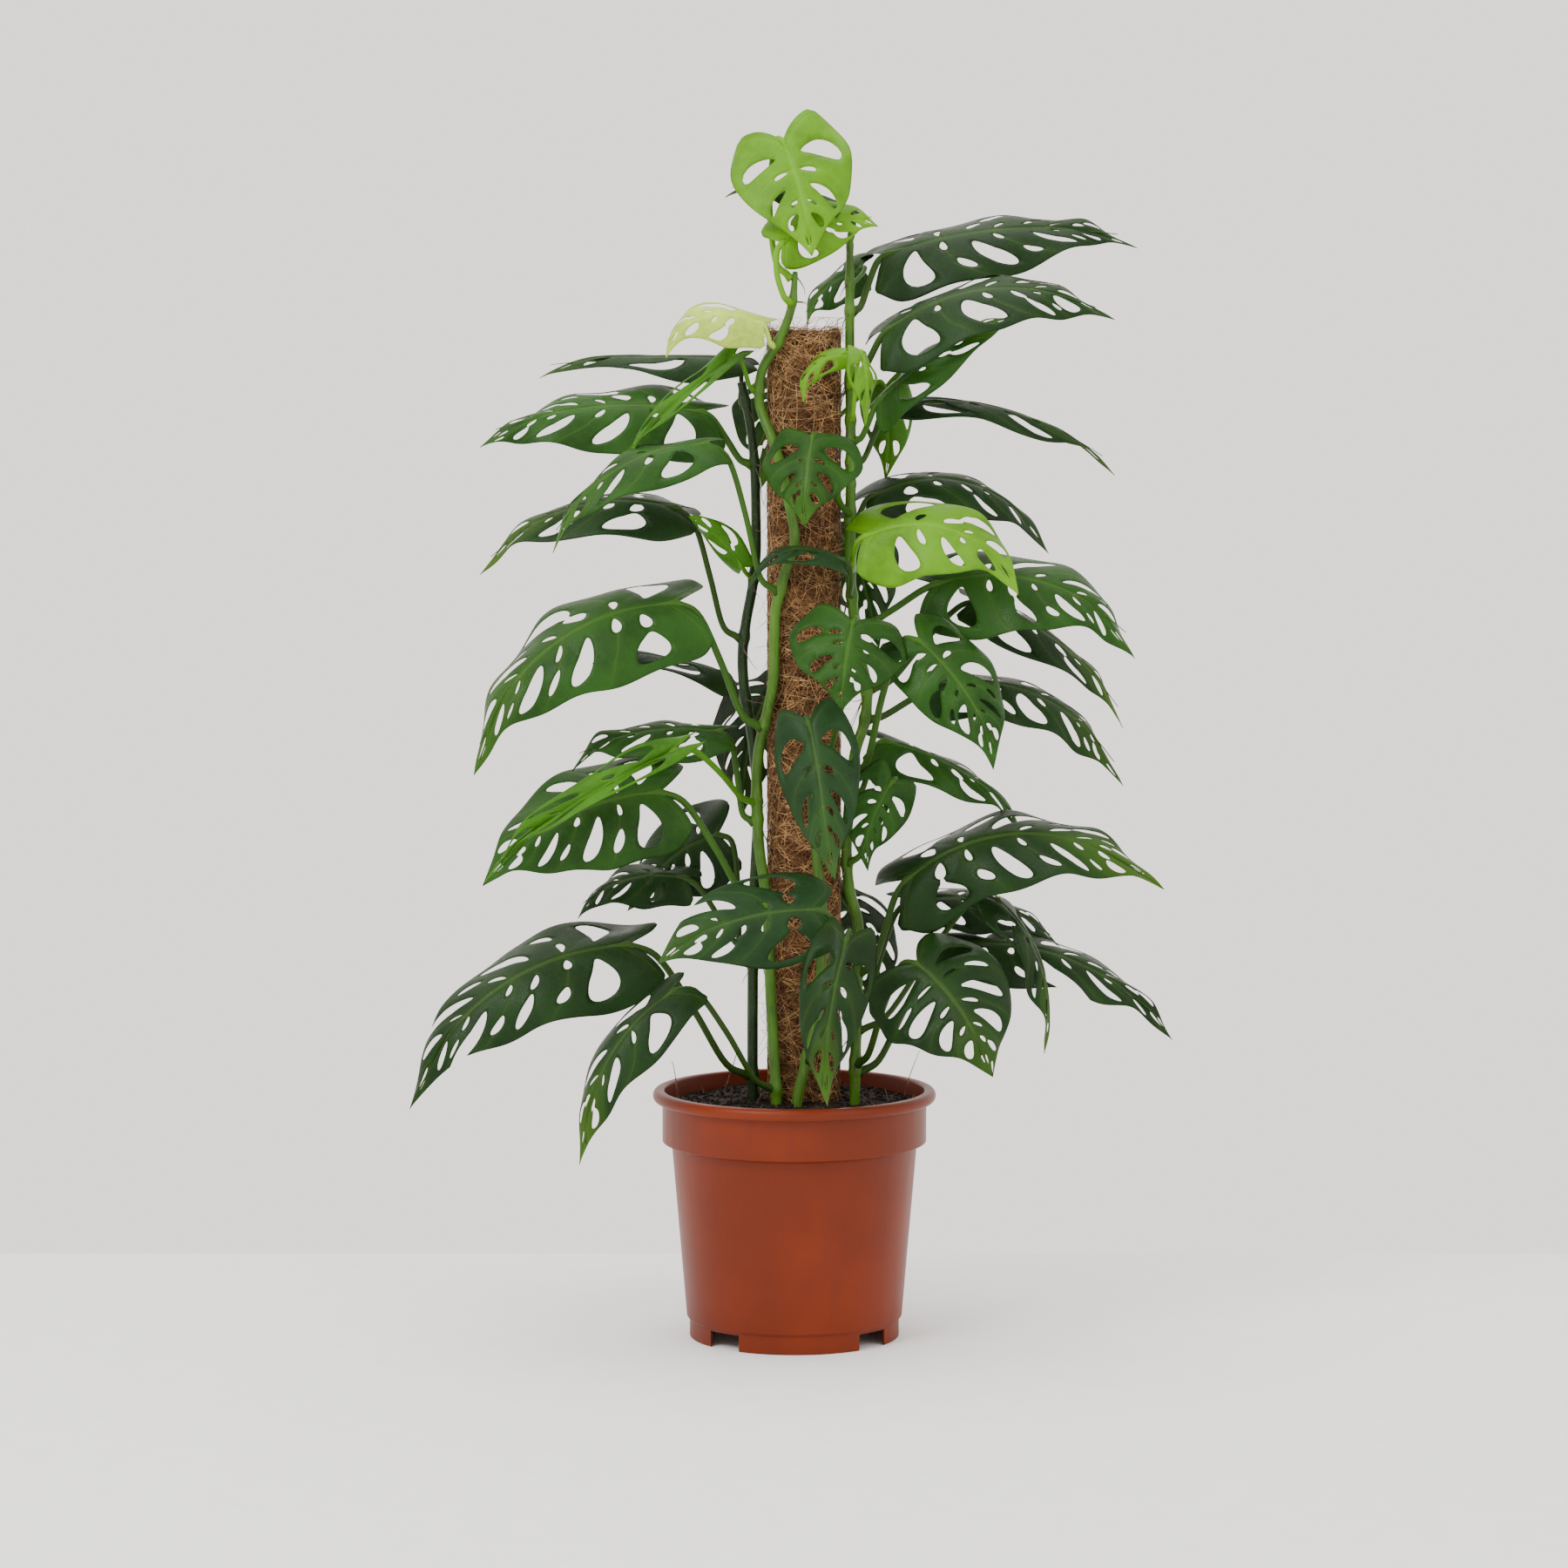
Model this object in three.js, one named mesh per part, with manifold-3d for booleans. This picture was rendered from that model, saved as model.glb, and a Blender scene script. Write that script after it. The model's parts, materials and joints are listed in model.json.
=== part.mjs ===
// A climbing monstera with perforated leaves, trained up a coir pole in a nursery pot.
// Millimetres, +Z up. The origin is the middle of the pot's foot ring, on the floor, and the
// plant's best side faces -Y.
import * as THREE from 'three';
import { mergeVertices } from 'three/addons/utils/BufferGeometryUtils.js';
import Module from 'manifold-3d';

const wasm = await Module();
wasm.setup();

// ---------------------------------------------------------------- sizes
const fitGap = 0.3;
const mergeTolerance = 1e-4;
const heightHalvings = 30;

// Pot
const rimDiameter = 240;
const potHeight = 211;
const lipHeight = 10;
// The lip's corners as shares of its height: [in from its side, up from its foot].
const lipOuterCorners = [[0.15, 0], [0, 0.3], [0.1, 0.75], [0.4, 1]];
const lipInnerCorners = [[0.15, 1], [0, 0.7]];
const lipOverhang = 8;
const collarHeight = 34;
const shoulderStep = 8;
const shoulderRise = 3;
const footDiameter = 178;
const footHeight = 15;
const footStep = 2.5;
const potWall = 2;
const potFloor = 2.4;
const potSegments = 40;
const notchCount = 4;
const notchWidth = 32;
const notchBearing = 48;
const drainCount = 8;
const drainDiameter = 10;
const drainSides = 10;
const drainRingDiameter = 116;

// Soil
const soilDrop = 11;
const rootDepth = 24;

// Climbing pole
const sleeveDiameter = 60;
const coreDiameter = 30;
const poleAboveSoil = 650;
const poleFootRise = 32.6;
const poleX = 8;
const poleY = 10;
const poleSegments = 26;

// Stems and roots
const vineDiameter = 9.2;
const vineSides = 8;
const vineStep = 30;
const aerialRootDiameter = 1.8;
const aerialRootSides = 6;
const aerialRootStep = 9;

// Leaves
const bladeThickness = 0.8;
const keelDepth = 1.4;
const stalkGap = 1.4;
const stalkStations = [0, 0.2, 0.5, 0.8];
const sheathFlare = 1.25;
const holeInner = 0.26;
const holeOuter = 0.8;
const usualFold = 0.22;
const usualCurl = 0.16;
const usualLobe = 0.14;
const barShare = 0.8;
const holeShare = 1.2;
const midribSpan = 0.9;
const marginSpan = 0.97;
const crestShare = 0.45;
const leavingShare = 0.22;
const arrivingShare = 0.3;

// ---------------------------------------------------------------- derived sizes
const soilLevel = potHeight - soilDrop;
const rimRadius = rimDiameter / 2;
const collarRadius = rimRadius - lipOverhang;
const bodyTopRadius = collarRadius - shoulderStep;
const footRadius = footDiameter / 2;
const bodyFootRadius = footRadius + footStep;
const lipBottom = potHeight - lipHeight;
const shoulderTop = lipBottom - collarHeight;
const shoulderBottom = shoulderTop - shoulderRise;
const floorTop = footHeight + potFloor;
const poleFoot = floorTop + poleFootRise;
const sleeveRadius = sleeveDiameter / 2;
const coreRadius = coreDiameter / 2;
const vineRadius = vineDiameter / 2;

// ---------------------------------------------------------------- materials
const finish = {
  pot: new THREE.MeshStandardMaterial({ color: 0xa64a30, roughness: 0.45, metalness: 0 }),
  soil: new THREE.MeshStandardMaterial({ color: 0x2a1f19, roughness: 1, metalness: 0 }),
  core: new THREE.MeshStandardMaterial({ color: 0xc9b48e, roughness: 0.8, metalness: 0 }),
  coir: new THREE.MeshStandardMaterial({ color: 0x7a4a2c, roughness: 1, metalness: 0 }),
  lightStem: new THREE.MeshStandardMaterial({ color: 0x6ea03c, roughness: 0.5, metalness: 0 }),
  darkStem: new THREE.MeshStandardMaterial({ color: 0x2f5a3a, roughness: 0.5, metalness: 0 }),
  root: new THREE.MeshStandardMaterial({ color: 0x2a2019, roughness: 0.8, metalness: 0 }),
  dark: new THREE.MeshStandardMaterial({ color: 0x23542d, roughness: 0.4, metalness: 0 }),
  green: new THREE.MeshStandardMaterial({ color: 0x357a37, roughness: 0.4, metalness: 0 }),
  young: new THREE.MeshStandardMaterial({ color: 0x86bf45, roughness: 0.4, metalness: 0 }),
};

// ---------------------------------------------------------------- solids
function toManifold(geometry) {
  const bare = geometry.clone();
  bare.deleteAttribute('normal');
  bare.deleteAttribute('uv');
  const merged = mergeVertices(bare, mergeTolerance);
  const vertProperties = Float32Array.from(merged.attributes.position.array);
  const triVerts = Uint32Array.from(merged.index.array);
  return new wasm.Manifold(new wasm.Mesh({ numProp: 3, vertProperties, triVerts }));
}

function fromManifold(solid) {
  const mesh = solid.getMesh();
  const geometry = new THREE.BufferGeometry();
  geometry.setAttribute('position', new THREE.BufferAttribute(mesh.vertProperties, 3));
  geometry.setIndex(new THREE.BufferAttribute(mesh.triVerts, 1));
  return geometry;
}

function cut(geometry, cutters) {
  let solid = toManifold(geometry);
  for (const cutter of cutters) {
    solid = solid.subtract(toManifold(cutter));
  }
  return fromManifold(solid);
}

function turned(profile, segments) {
  const points = profile.map(([radius, z]) => new THREE.Vector2(radius, z));
  return new THREE.LatheGeometry(points, segments).rotateX(Math.PI / 2);
}

function upright(radius, bottom, top, segments) {
  const cylinder = new THREE.CylinderGeometry(radius, radius, top - bottom, segments);
  return cylinder.rotateX(Math.PI / 2).translate(0, 0, (top + bottom) / 2);
}

function tube(curve, radius, sides, step) {
  const section = new THREE.Shape();
  for (let side = 0; side < sides; side += 1) {
    const angle = (2 * Math.PI * side) / sides;
    const corner = [radius * Math.cos(angle), radius * Math.sin(angle)];
    if (side === 0) section.moveTo(...corner);
    else section.lineTo(...corner);
  }
  section.closePath();
  const steps = Math.ceil(curve.getLength() / step);
  return new THREE.ExtrudeGeometry(section, { steps, extrudePath: curve, bevelEnabled: false });
}

const model = new THREE.Group();
const plant = new THREE.Group();
plant.position.z = soilLevel;
model.add(plant);

function place(name, geometry, material, parent) {
  const mesh = new THREE.Mesh(geometry, material);
  mesh.name = name;
  parent.add(mesh);
}

// ---------------------------------------------------------------- pot
function lipCorner(radius, outwards, up) {
  return [radius + outwards * lipHeight, lipBottom + up * lipHeight];
}

function potGeometry() {
  const innerRadius = collarRadius - potWall;
  const shell = turned([
    [0, footHeight],
    [footRadius - potWall, footHeight],
    [footRadius - potWall, 0],
    [footRadius, 0],
    [footRadius, footHeight],
    [bodyFootRadius, footHeight + footStep],
    [bodyTopRadius, shoulderBottom],
    [collarRadius, shoulderTop],
    [collarRadius, lipBottom],
    ...lipOuterCorners.map(([inwards, up]) => lipCorner(rimRadius, -inwards, up)),
    ...lipInnerCorners.map(([outwards, up]) => lipCorner(innerRadius, outwards, up)),
    [innerRadius, shoulderTop + potWall],
    [bodyTopRadius - potWall, shoulderBottom + potWall],
    [bodyFootRadius - potWall, floorTop],
    [0, floorTop],
  ], potSegments);
  const cutters = [];
  for (let notch = 0; notch < notchCount; notch += 1) {
    const bearing = THREE.MathUtils.degToRad(notchBearing) + (2 * Math.PI * notch) / notchCount;
    const box = new THREE.BoxGeometry(footRadius, notchWidth, 2 * footHeight - footStep);
    box.translate(footRadius, 0, 0);
    box.rotateZ(bearing);
    cutters.push(box);
  }
  for (let drain = 0; drain < drainCount; drain += 1) {
    const bearing = (2 * Math.PI * drain) / drainCount;
    const hole = upright(drainDiameter / 2, 0, floorTop + potFloor, drainSides);
    hole.translate(drainRingDiameter / 2, 0, 0);
    hole.rotateZ(bearing);
    cutters.push(hole);
  }
  return cut(shell, cutters);
}

// ---------------------------------------------------------------- stems
// A stem's points are [height above the soil, bearing round the pole, stand-off from the coir],
// with bearing 0 to the right, 90 to the back, 180 to the left and 270 to the front.
function besidePole([height, bearing, standOff]) {
  const angle = THREE.MathUtils.degToRad(bearing);
  const reach = sleeveRadius + vineRadius + standOff;
  const x = poleX + reach * Math.cos(angle);
  const y = poleY + reach * Math.sin(angle);
  return new THREE.Vector3(x, y, height);
}

function vine(name, material, stations) {
  const [, bearing, standOff] = stations[0];
  const rooted = [[-rootDepth, bearing, standOff], [-rootDepth / 2, bearing, standOff]];
  const points = [...rooted, ...stations].map(besidePole);
  const curve = new THREE.CatmullRomCurve3(points, false, 'centripetal');
  return { name, material, curve };
}

function pointAtHeight(curve, height) {
  let low = 0;
  let high = 1;
  for (let halving = 0; halving < heightHalvings; halving += 1) {
    const middle = (low + high) / 2;
    if (curve.getPoint(middle).z < height) low = middle;
    else high = middle;
  }
  return curve.getPoint(low);
}

const front = vine('vine_front', finish.lightStem, [
  [4, 237, 8], [90, 228, 7], [170, 218, 5], [218, 205, 7], [288, 199, 7], [321, 212, 5],
  [352, 227, 4], [418, 232, 4], [446, 243, 4], [465, 258, 4], [492, 255, 4], [544, 238, 4],
  [573, 219, 5], [603, 203, 8], [632, 226, 6], [655, 248, 3], [700, 258, 1],
]);
const left = vine('vine_left', finish.darkStem, [
  [4, 182, 9], [160, 178, 8], [250, 170, 5], [300, 176, 8], [363, 178, 17], [394, 178, 16],
  [450, 174, 7], [485, 174, 6], [560, 174, 9], [608, 180, 18],
]);
const right = vine('vine_right', finish.lightStem, [
  [4, 345, 10], [100, 345, 12], [161, 344, 12], [190, 342, 4], [301, 350, 10], [338, 357, 20],
  [380, 353, 12], [441, 346, 6], [544, 345, 6], [647, 352, 4], [690, 352, 4], [735, 352, 4],
]);
const centre = vine('vine_centre', finish.lightStem, [
  [4, 262, 9], [80, 285, 7], [168, 292, 6], [225, 284, 5], [300, 288, 6],
]);
const back = vine('vine_back', finish.darkStem, [
  [4, 92, 8], [140, 84, 6], [260, 97, 6], [380, 84, 5], [500, 95, 6], [585, 90, 8],
]);
const vines = [front, left, right, centre, back];

// ---------------------------------------------------------------- soil
function soilGeometry() {
  const wall = potWall + fitGap;
  const body = turned([
    [0, floorTop + fitGap],
    [bodyFootRadius - wall, floorTop + fitGap],
    [bodyTopRadius - wall, shoulderBottom + potWall],
    [bodyTopRadius - wall, shoulderTop + potWall + fitGap],
    [collarRadius - wall, shoulderTop + potWall + shoulderRise],
    [collarRadius - wall, soilLevel],
    [0, soilLevel],
  ], potSegments);
  const socket = upright(sleeveRadius + fitGap, poleFoot - fitGap, potHeight, poleSegments);
  const cutters = [socket.translate(poleX, poleY, 0)];
  for (const { curve } of vines) {
    const { x, y } = curve.getPoint(0);
    const bore = (vineRadius + fitGap) / Math.cos(Math.PI / vineSides);
    const hole = upright(bore, soilLevel - rootDepth - fitGap, potHeight, vineSides * 2);
    cutters.push(hole.translate(x, y, 0));
  }
  return cut(body, cutters);
}

// ---------------------------------------------------------------- climbing pole
function sleeveGeometry() {
  const bottom = poleFoot - soilLevel;
  const bore = coreRadius + fitGap;
  const wrap = turned([
    [bore, bottom],
    [sleeveRadius, bottom],
    [sleeveRadius, poleAboveSoil],
    [bore, poleAboveSoil],
    [bore, bottom],
  ], poleSegments);
  return wrap.translate(poleX, poleY, 0);
}

function coreGeometry() {
  const core = upright(coreRadius, poleFoot - soilLevel, poleAboveSoil, poleSegments);
  return core.translate(poleX, poleY, 0);
}

// ---------------------------------------------------------------- leaves
// Half of a blade's outline, [half widths across, lengths along], from the lobe to the tip.
function halfOutline(lobe) {
  return new THREE.SplineCurve([
    new THREE.Vector2(0.4, -lobe),
    new THREE.Vector2(0.8, -0.6 * lobe),
    new THREE.Vector2(1, 0.2),
    new THREE.Vector2(0.93, 0.44),
    new THREE.Vector2(0.64, 0.7),
    new THREE.Vector2(0.28, 0.88),
    new THREE.Vector2(0.06, 0.97),
    new THREE.Vector2(0, 1),
  ]);
}

// Rows of the blade, each from the midrib to the margin. Bars and holes take turns, and
// a bar is a little narrower than a hole.
function bladeRows(bays, lobe) {
  const outline = halfOutline(lobe);
  const total = bays * (barShare + holeShare) + barShare;
  const rows = [];
  let reached = 0;
  for (let row = 0; row <= 2 * bays; row += 1) {
    const share = reached / total;
    const edge = outline.getPointAt(marginSpan * share);
    rows.push({ rib: midribSpan * share, edge });
    reached += row % 2 === 0 ? barShare : holeShare;
  }
  return rows;
}

function faceFrame(tangent, face) {
  const normal = face.clone().addScaledVector(tangent, -face.dot(tangent)).normalize();
  const side = new THREE.Vector3().crossVectors(tangent, normal);
  return { tangent, normal, side };
}

// The frame at the joint, carried back along the stalk without turning about it.
function carriedFrame(frame, tangent) {
  const turn = new THREE.Quaternion().setFromUnitVectors(frame.tangent, tangent);
  const normal = frame.normal.clone().applyQuaternion(turn);
  return faceFrame(tangent, normal);
}

// The lines of a leaf. run and reach are the stalk's and the blade's vectors, face is where
// the upper side looks, and arch is how far the midrib's middle is lifted off its chord.
function leafLines({ curve, at, run, reach, face, arch }) {
  const away = new THREE.Vector3(run[0], run[1], 0).normalize();
  const foot = pointAtHeight(curve, at).addScaledVector(away, vineRadius + stalkGap);
  const joint = pointAtHeight(curve, at).add(new THREE.Vector3(...run));
  const tip = joint.clone().add(new THREE.Vector3(...reach));

  const chord = tip.clone().sub(joint).normalize();
  const up = faceFrame(chord, new THREE.Vector3(...face)).normal;
  const lift = faceFrame(chord, new THREE.Vector3(0, 0, 1)).normal;
  const crest = joint.clone().lerp(tip, crestShare).addScaledVector(lift, 2 * arch);
  const midrib = new THREE.QuadraticBezierCurve3(joint, crest, tip);

  const start = crest.clone().sub(joint).normalize();
  const stalkLength = foot.distanceTo(joint);
  const leaving = foot.clone().addScaledVector(away, leavingShare * stalkLength);
  const arriving = joint.clone().addScaledVector(start, -arrivingShare * stalkLength);
  const stalk = new THREE.CubicBezierCurve3(foot, leaving, arriving, joint);
  return { joint, tip, up, midrib, stalk, jointFrame: faceFrame(start, up) };
}

function meshBuilder() {
  const vertices = [];
  const triangles = [];
  return {
    vertex: (point) => vertices.push(point.x, point.y, point.z) / 3 - 1,
    triangle: (a, b, c) => triangles.push(a, b, c),
    quad: (a, b, c, d) => triangles.push(a, b, c, a, c, d),
    geometry: () => {
      const geometry = new THREE.BufferGeometry();
      geometry.setAttribute('position', new THREE.Float32BufferAttribute(vertices, 3));
      geometry.setIndex(triangles);
      return geometry;
    },
  };
}

// Stalk rings: top, right top, right bottom, bottom, left bottom, left top.
function stalkRings(build, { stalk, jointFrame }, stalkRadius) {
  const ringAngles = [90, 30, -30, -90, -150, 150].map(THREE.MathUtils.degToRad);
  let frame = jointFrame;
  const rings = [];
  for (const station of [...stalkStations].reverse()) {
    frame = carriedFrame(frame, stalk.getTangent(station));
    const middle = stalk.getPoint(station);
    const radius = stalkRadius * (station === 0 ? sheathFlare : 1);
    const ring = ringAngles.map((angle) => build.vertex(middle.clone()
      .addScaledVector(frame.side, radius * Math.cos(angle))
      .addScaledVector(frame.normal, radius * Math.sin(angle))));
    rings.unshift(ring);
  }
  return rings;
}

// A point of the blade: u is its share of the half width, and s its share of the length.
function bladePoint({ joint, tip, up, midrib }, { fold, curl }, halfWidth, u, s) {
  const along = THREE.MathUtils.clamp(s, 0, 1);
  const here = faceFrame(midrib.getTangent(along), up);
  const drop = halfWidth * (fold * Math.abs(u) + curl * u * u);
  const point = midrib.getPoint(along)
    .addScaledVector(here.tangent, (s - along) * joint.distanceTo(tip))
    .addScaledVector(here.side, u * halfWidth)
    .addScaledVector(here.normal, -drop);
  return { point, normal: here.normal };
}

// The middle corners of the first row, where the stalk runs into the blade.
function jointCorner(build, { joint, jointFrame }, column, stalkRadius) {
  const angle = THREE.MathUtils.degToRad(column === 0 ? 90 : 30);
  const middle = joint.clone()
    .addScaledVector(jointFrame.side, column * stalkRadius * Math.cos(angle));
  const rise = stalkRadius * Math.sin(angle);
  return {
    top: build.vertex(middle.clone().addScaledVector(jointFrame.normal, rise)),
    bottom: build.vertex(middle.clone().addScaledVector(jointFrame.normal, -rise)),
  };
}

function bladeCorner(build, point, normal, keel) {
  const half = bladeThickness / 2;
  return {
    top: build.vertex(point.clone().addScaledVector(normal, half)),
    bottom: build.vertex(point.clone().addScaledVector(normal, -half - keel)),
  };
}

// Blade rows: columns -3 to 3 from the left margin over the midrib to the right margin.
function bladeGrid(build, lines, rows, shape, halfWidth, stalkRadius) {
  const across = [0, holeInner, holeOuter, 1];
  return rows.map(({ rib, edge }, row) => {
    const cells = {};
    for (let column = -3; column <= 3; column += 1) {
      const share = across[Math.abs(column)];
      const u = Math.sign(column) * share * edge.x;
      const s = rib + share * (edge.y - rib);
      const { point, normal } = bladePoint(lines, shape, halfWidth, u, s);
      if (Math.abs(column) === 3) {
        const index = build.vertex(point);
        cells[column] = { top: index, bottom: index };
      } else if (row === 0 && Math.abs(column) < 2) {
        cells[column] = jointCorner(build, lines, column, stalkRadius);
      } else {
        const keel = column === 0 ? keelDepth * (1 - rib) : 0;
        cells[column] = bladeCorner(build, point, normal, keel);
      }
    }
    return cells;
  });
}

// True where a cell is blade. Odd rows are open beside the midrib, and torn bays, which are
// counted from 1 and negative on the left, are open at the margin too.
function isBlade(grid, torn, row, column) {
  if (column < -3 || column > 2 || row < 0) return false;
  if (row >= grid.length - 1 || row % 2 === 0) return true;
  if (column === -2 || column === 1) return false;
  const bay = (row + 1) / 2;
  const isMargin = column === -3 || column === 2;
  return !(isMargin && torn.includes(column < 0 ? -bay : bay));
}

function skinBlade(build, grid, apex, torn) {
  const present = (row, column) => isBlade(grid, torn, row, column);
  const wall = (a, b) => {
    if (a.top !== a.bottom) build.triangle(b.top, a.top, a.bottom);
    if (b.top !== b.bottom) build.triangle(b.top, a.bottom, b.bottom);
  };
  for (let row = 0; row < grid.length; row += 1) {
    const last = row === grid.length - 1;
    for (let column = -3; column <= 2; column += 1) {
      if (!present(row, column)) continue;
      const near = grid[row][column];
      const far = grid[row][column + 1];
      if (last) {
        build.triangle(near.top, far.top, apex);
        build.triangle(near.bottom, apex, far.bottom);
      } else {
        const nextNear = grid[row + 1][column];
        const nextFar = grid[row + 1][column + 1];
        build.quad(near.top, far.top, nextFar.top, nextNear.top);
        build.quad(near.bottom, nextNear.bottom, nextFar.bottom, far.bottom);
        if (column < 2 && !present(row, column + 1)) wall(far, nextFar);
        if (column > -3 && !present(row, column - 1)) wall(nextNear, near);
        if (!present(row + 1, column)) wall(nextFar, nextNear);
      }
      const onStalk = row === 0 && (column === -1 || column === 0);
      if (!onStalk && !present(row - 1, column)) wall(near, far);
    }
  }
}

function skinStalk(build, rings, base) {
  const socket = [
    base[0].top, base[1].top, base[1].bottom, base[0].bottom, base[-1].bottom, base[-1].top,
  ];
  const sections = [...rings, socket];
  for (let ring = 0; ring + 1 < sections.length; ring += 1) {
    for (let side = 0; side < socket.length; side += 1) {
      const next = (side + 1) % socket.length;
      const [here, there] = [sections[ring], sections[ring + 1]];
      build.quad(here[side], here[next], there[next], there[side]);
    }
  }
  for (let side = 1; side + 1 < socket.length; side += 1) {
    build.triangle(rings[0][0], rings[0][side + 1], rings[0][side]);
  }
}

// A leaf is one solid: a six-sided stalk that runs into a blade with real holes.
function leafGeometry(route, width, size, shape) {
  const { fold = usualFold, curl = usualCurl, lobe = usualLobe, torn = [] } = shape;
  const build = meshBuilder();
  const lines = leafLines(route);
  const stalkRadius = size.stalkDiameter / 2;
  const rings = stalkRings(build, lines, stalkRadius);
  const rows = bladeRows(size.bays, lobe);
  const grid = bladeGrid(build, lines, rows, { fold, curl }, width / 2, stalkRadius);
  const apex = build.vertex(lines.tip);
  skinBlade(build, grid, apex, torn);
  skinStalk(build, rings, grid[0]);
  return build.geometry();
}

const large = { bays: 4, stalkDiameter: 6.2 };
const medium = { bays: 3, stalkDiameter: 5.4 };
const small = { bays: 2, stalkDiameter: 4.2 };

function leaf(name, tone, size, stem, at, run, reach, width, face, arch, shape = {}) {
  const route = { curve: stem.curve, at, run, reach, face, arch };
  const geometry = leafGeometry(route, width, size, shape);
  place(`leaf_${name}`, geometry, finish[tone], plant);
}

// ---------------------------------------------------------------- the whole plant
place('pot', potGeometry(), finish.pot, model);
place('soil', soilGeometry(), finish.soil, model);
place('pole_core', coreGeometry(), finish.core, plant);
place('pole_sleeve', sleeveGeometry(), finish.coir, plant);
for (const { name, curve, material } of vines) {
  place(name, tube(curve, vineRadius, vineSides, vineStep), material, plant);
}

// Crown
leaf('crown_1', 'young', medium, front, 697, [-10, 2, 111], [23, -38, -88], 102, [0, -1, 0.25], 5,
  { lobe: 0.26, fold: 0.05 });
leaf('crown_2', 'dark', small, right, 722, [0, 26, 30], [-105, 8, 20], 38, [0, -0.5, 1], 10);
leaf('crown_3', 'young', medium, front, 676, [-8, -12, 48], [80, 14, 22], 54, [0, -1, 0.3], 6);
leaf('crown_4', 'green', small, right, 690, [10, 42, 14], [-50, 24, -40], 48, [0, -0.7, 0.7], 6);
leaf('crown_5', 'young', small, front, 640, [-12, -14, 17], [-84, -14, -17], 52, [0, -0.7, 0.75], 16);
leaf('crown_6', 'young', small, right, 605, [-6, -38, 28], [-38, -14, -34], 26, [-0.4, -1, 0.6], 8);
leaf('crown_7', 'young', small, right, 578, [8, -52, 56], [4, -22, -56], 30, [0.6, -1, 0.5], 14);

// Right side, from the top down
leaf('right_1', 'dark', large, right, 668, [31, 24, 47], [212, 8, 16], 92, [0, -0.6, 0.85], 14,
  { lobe: 0.1 });
leaf('right_2', 'dark', large, right, 612, [31, -27, 40], [187, -18, 14], 92, [0, -0.55, 0.9], 28);
leaf('right_3', 'green', medium, right, 560, [24, -14, 34], [114, -36, 74], 52, [-0.4, -0.7, 0.8], 7);
leaf('right_4', 'dark', medium, right, 540, [42, 26, 52], [183, 2, -52], 46, [0.1, -0.25, 1], 18);
leaf('right_5', 'young', small, back, 560, [70, 6, 44], [4, 10, -74], 46, [0, -1, 0.3], 5);
leaf('right_6', 'dark', medium, right, 490, [18, 26, 22], [152, 19, -42], 84, [0, -0.45, 1], 33);
leaf('right_7', 'young', medium, right, 452, [12, -50, 30], [128, -25, -39], 90, [0, -0.75, 0.7], 26);
leaf('right_8', 'green', large, right, 405, [67, -23, 35], [170, -25, -48], 96, [0.1, -0.7, 0.75], 27);
leaf('right_9', 'dark', medium, right, 350, [98, 25, 72], [124, 18, -98], 58, [0.5, -0.5, 0.8], 14);
leaf('right_10', 'dark', large, right, 325, [70, 3, 31], [150, -8, -78], 72, [0.35, -0.45, 0.9], 26);
leaf('right_11', 'green', large, right, 280, [54, -74, 116], [66, -36, -94], 78, [0.1, -1, 0.4], 8,
  { lobe: 0.22 });
leaf('right_12', 'green', medium, right, 262, [30, 9, 44], [120, 12, -70], 58, [0.2, -0.5, 0.9], 11);
leaf('right_13', 'green', medium, right, 205, [37, -44, 71], [-26, -18, -64], 56, [0.1, -1, 0.2], 4,
  { lobe: 0.22 });
leaf('right_14', 'dark', large, right, 112, [41, -24, 80], [213, -28, 0], 98, [0, -0.65, 0.8], 41);
leaf('right_15', 'dark', medium, right, 92, [46, 28, 76], [129, 22, -36], 64, [0, -0.55, 0.9], 16);
leaf('right_16', 'dark', medium, right, 62, [119, -19, 112], [40, -24, -120], 48, [0.9, -0.5, 0.5], 20);
leaf('right_17', 'dark', large, right, 26, [87, 22, 106], [183, -26, -70], 72, [0.2, -0.55, 0.85], 24,
  { torn: [2] });
leaf('right_18', 'dark', large, right, 34, [50, -79, 94], [58, -55, -80], 118, [0.1, -1, 0.45], 10,
  { lobe: 0.26 });

// Left side, from the top down
leaf('left_1', 'dark', small, left, 590, [-9, 12, 36], [-165, 4, -3], 46, [0, -0.28, 1], 5);
leaf('left_2', 'green', large, left, 540, [-44, -10, 43], [-186, -26, -17], 84, [0, -0.65, 0.8], 13);
leaf('left_3', 'young', small, front, 603, [-19, -20, 27], [-94, -30, -82], 28, [-0.4, -0.7, 0.6], 3,
  { fold: -0.5 });
leaf('left_4', 'green', medium, front, 436, [-61, -38, 122], [-130, -34, -78], 64, [-0.2, -0.4, 0.9], 21,
  { fold: 0.1 });
leaf('left_5', 'dark', medium, left, 394, [-57, -6, 109], [-166, -4, -48], 74, [-0.1, -0.45, 1], 25);
leaf('left_6', 'green', large, front, 321, [-73, -23, 104], [-172, -32, -132], 112, [-0.4, -0.7, 0.65], 36);
leaf('left_7', 'dark', small, left, 340, [-19, 22, 23], [-114, 18, 14], 46, [0.1, -0.2, 1], 6);
leaf('left_8', 'green', small, left, 445, [-11, -18, 10], [-46, -24, 45], 26, [-0.6, -0.7, 0.4], 4);
leaf('left_9', 'green', medium, front, 240, [-32, 2, 75], [-126, -18, -19], 62, [-0.1, -0.45, 1], 11);
leaf('left_10', 'green', large, front, 170, [-89, -34, 98], [-146, -34, -68], 106, [-0.2, -0.9, 0.5], 16,
  { lobe: 0.17 });
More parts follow.
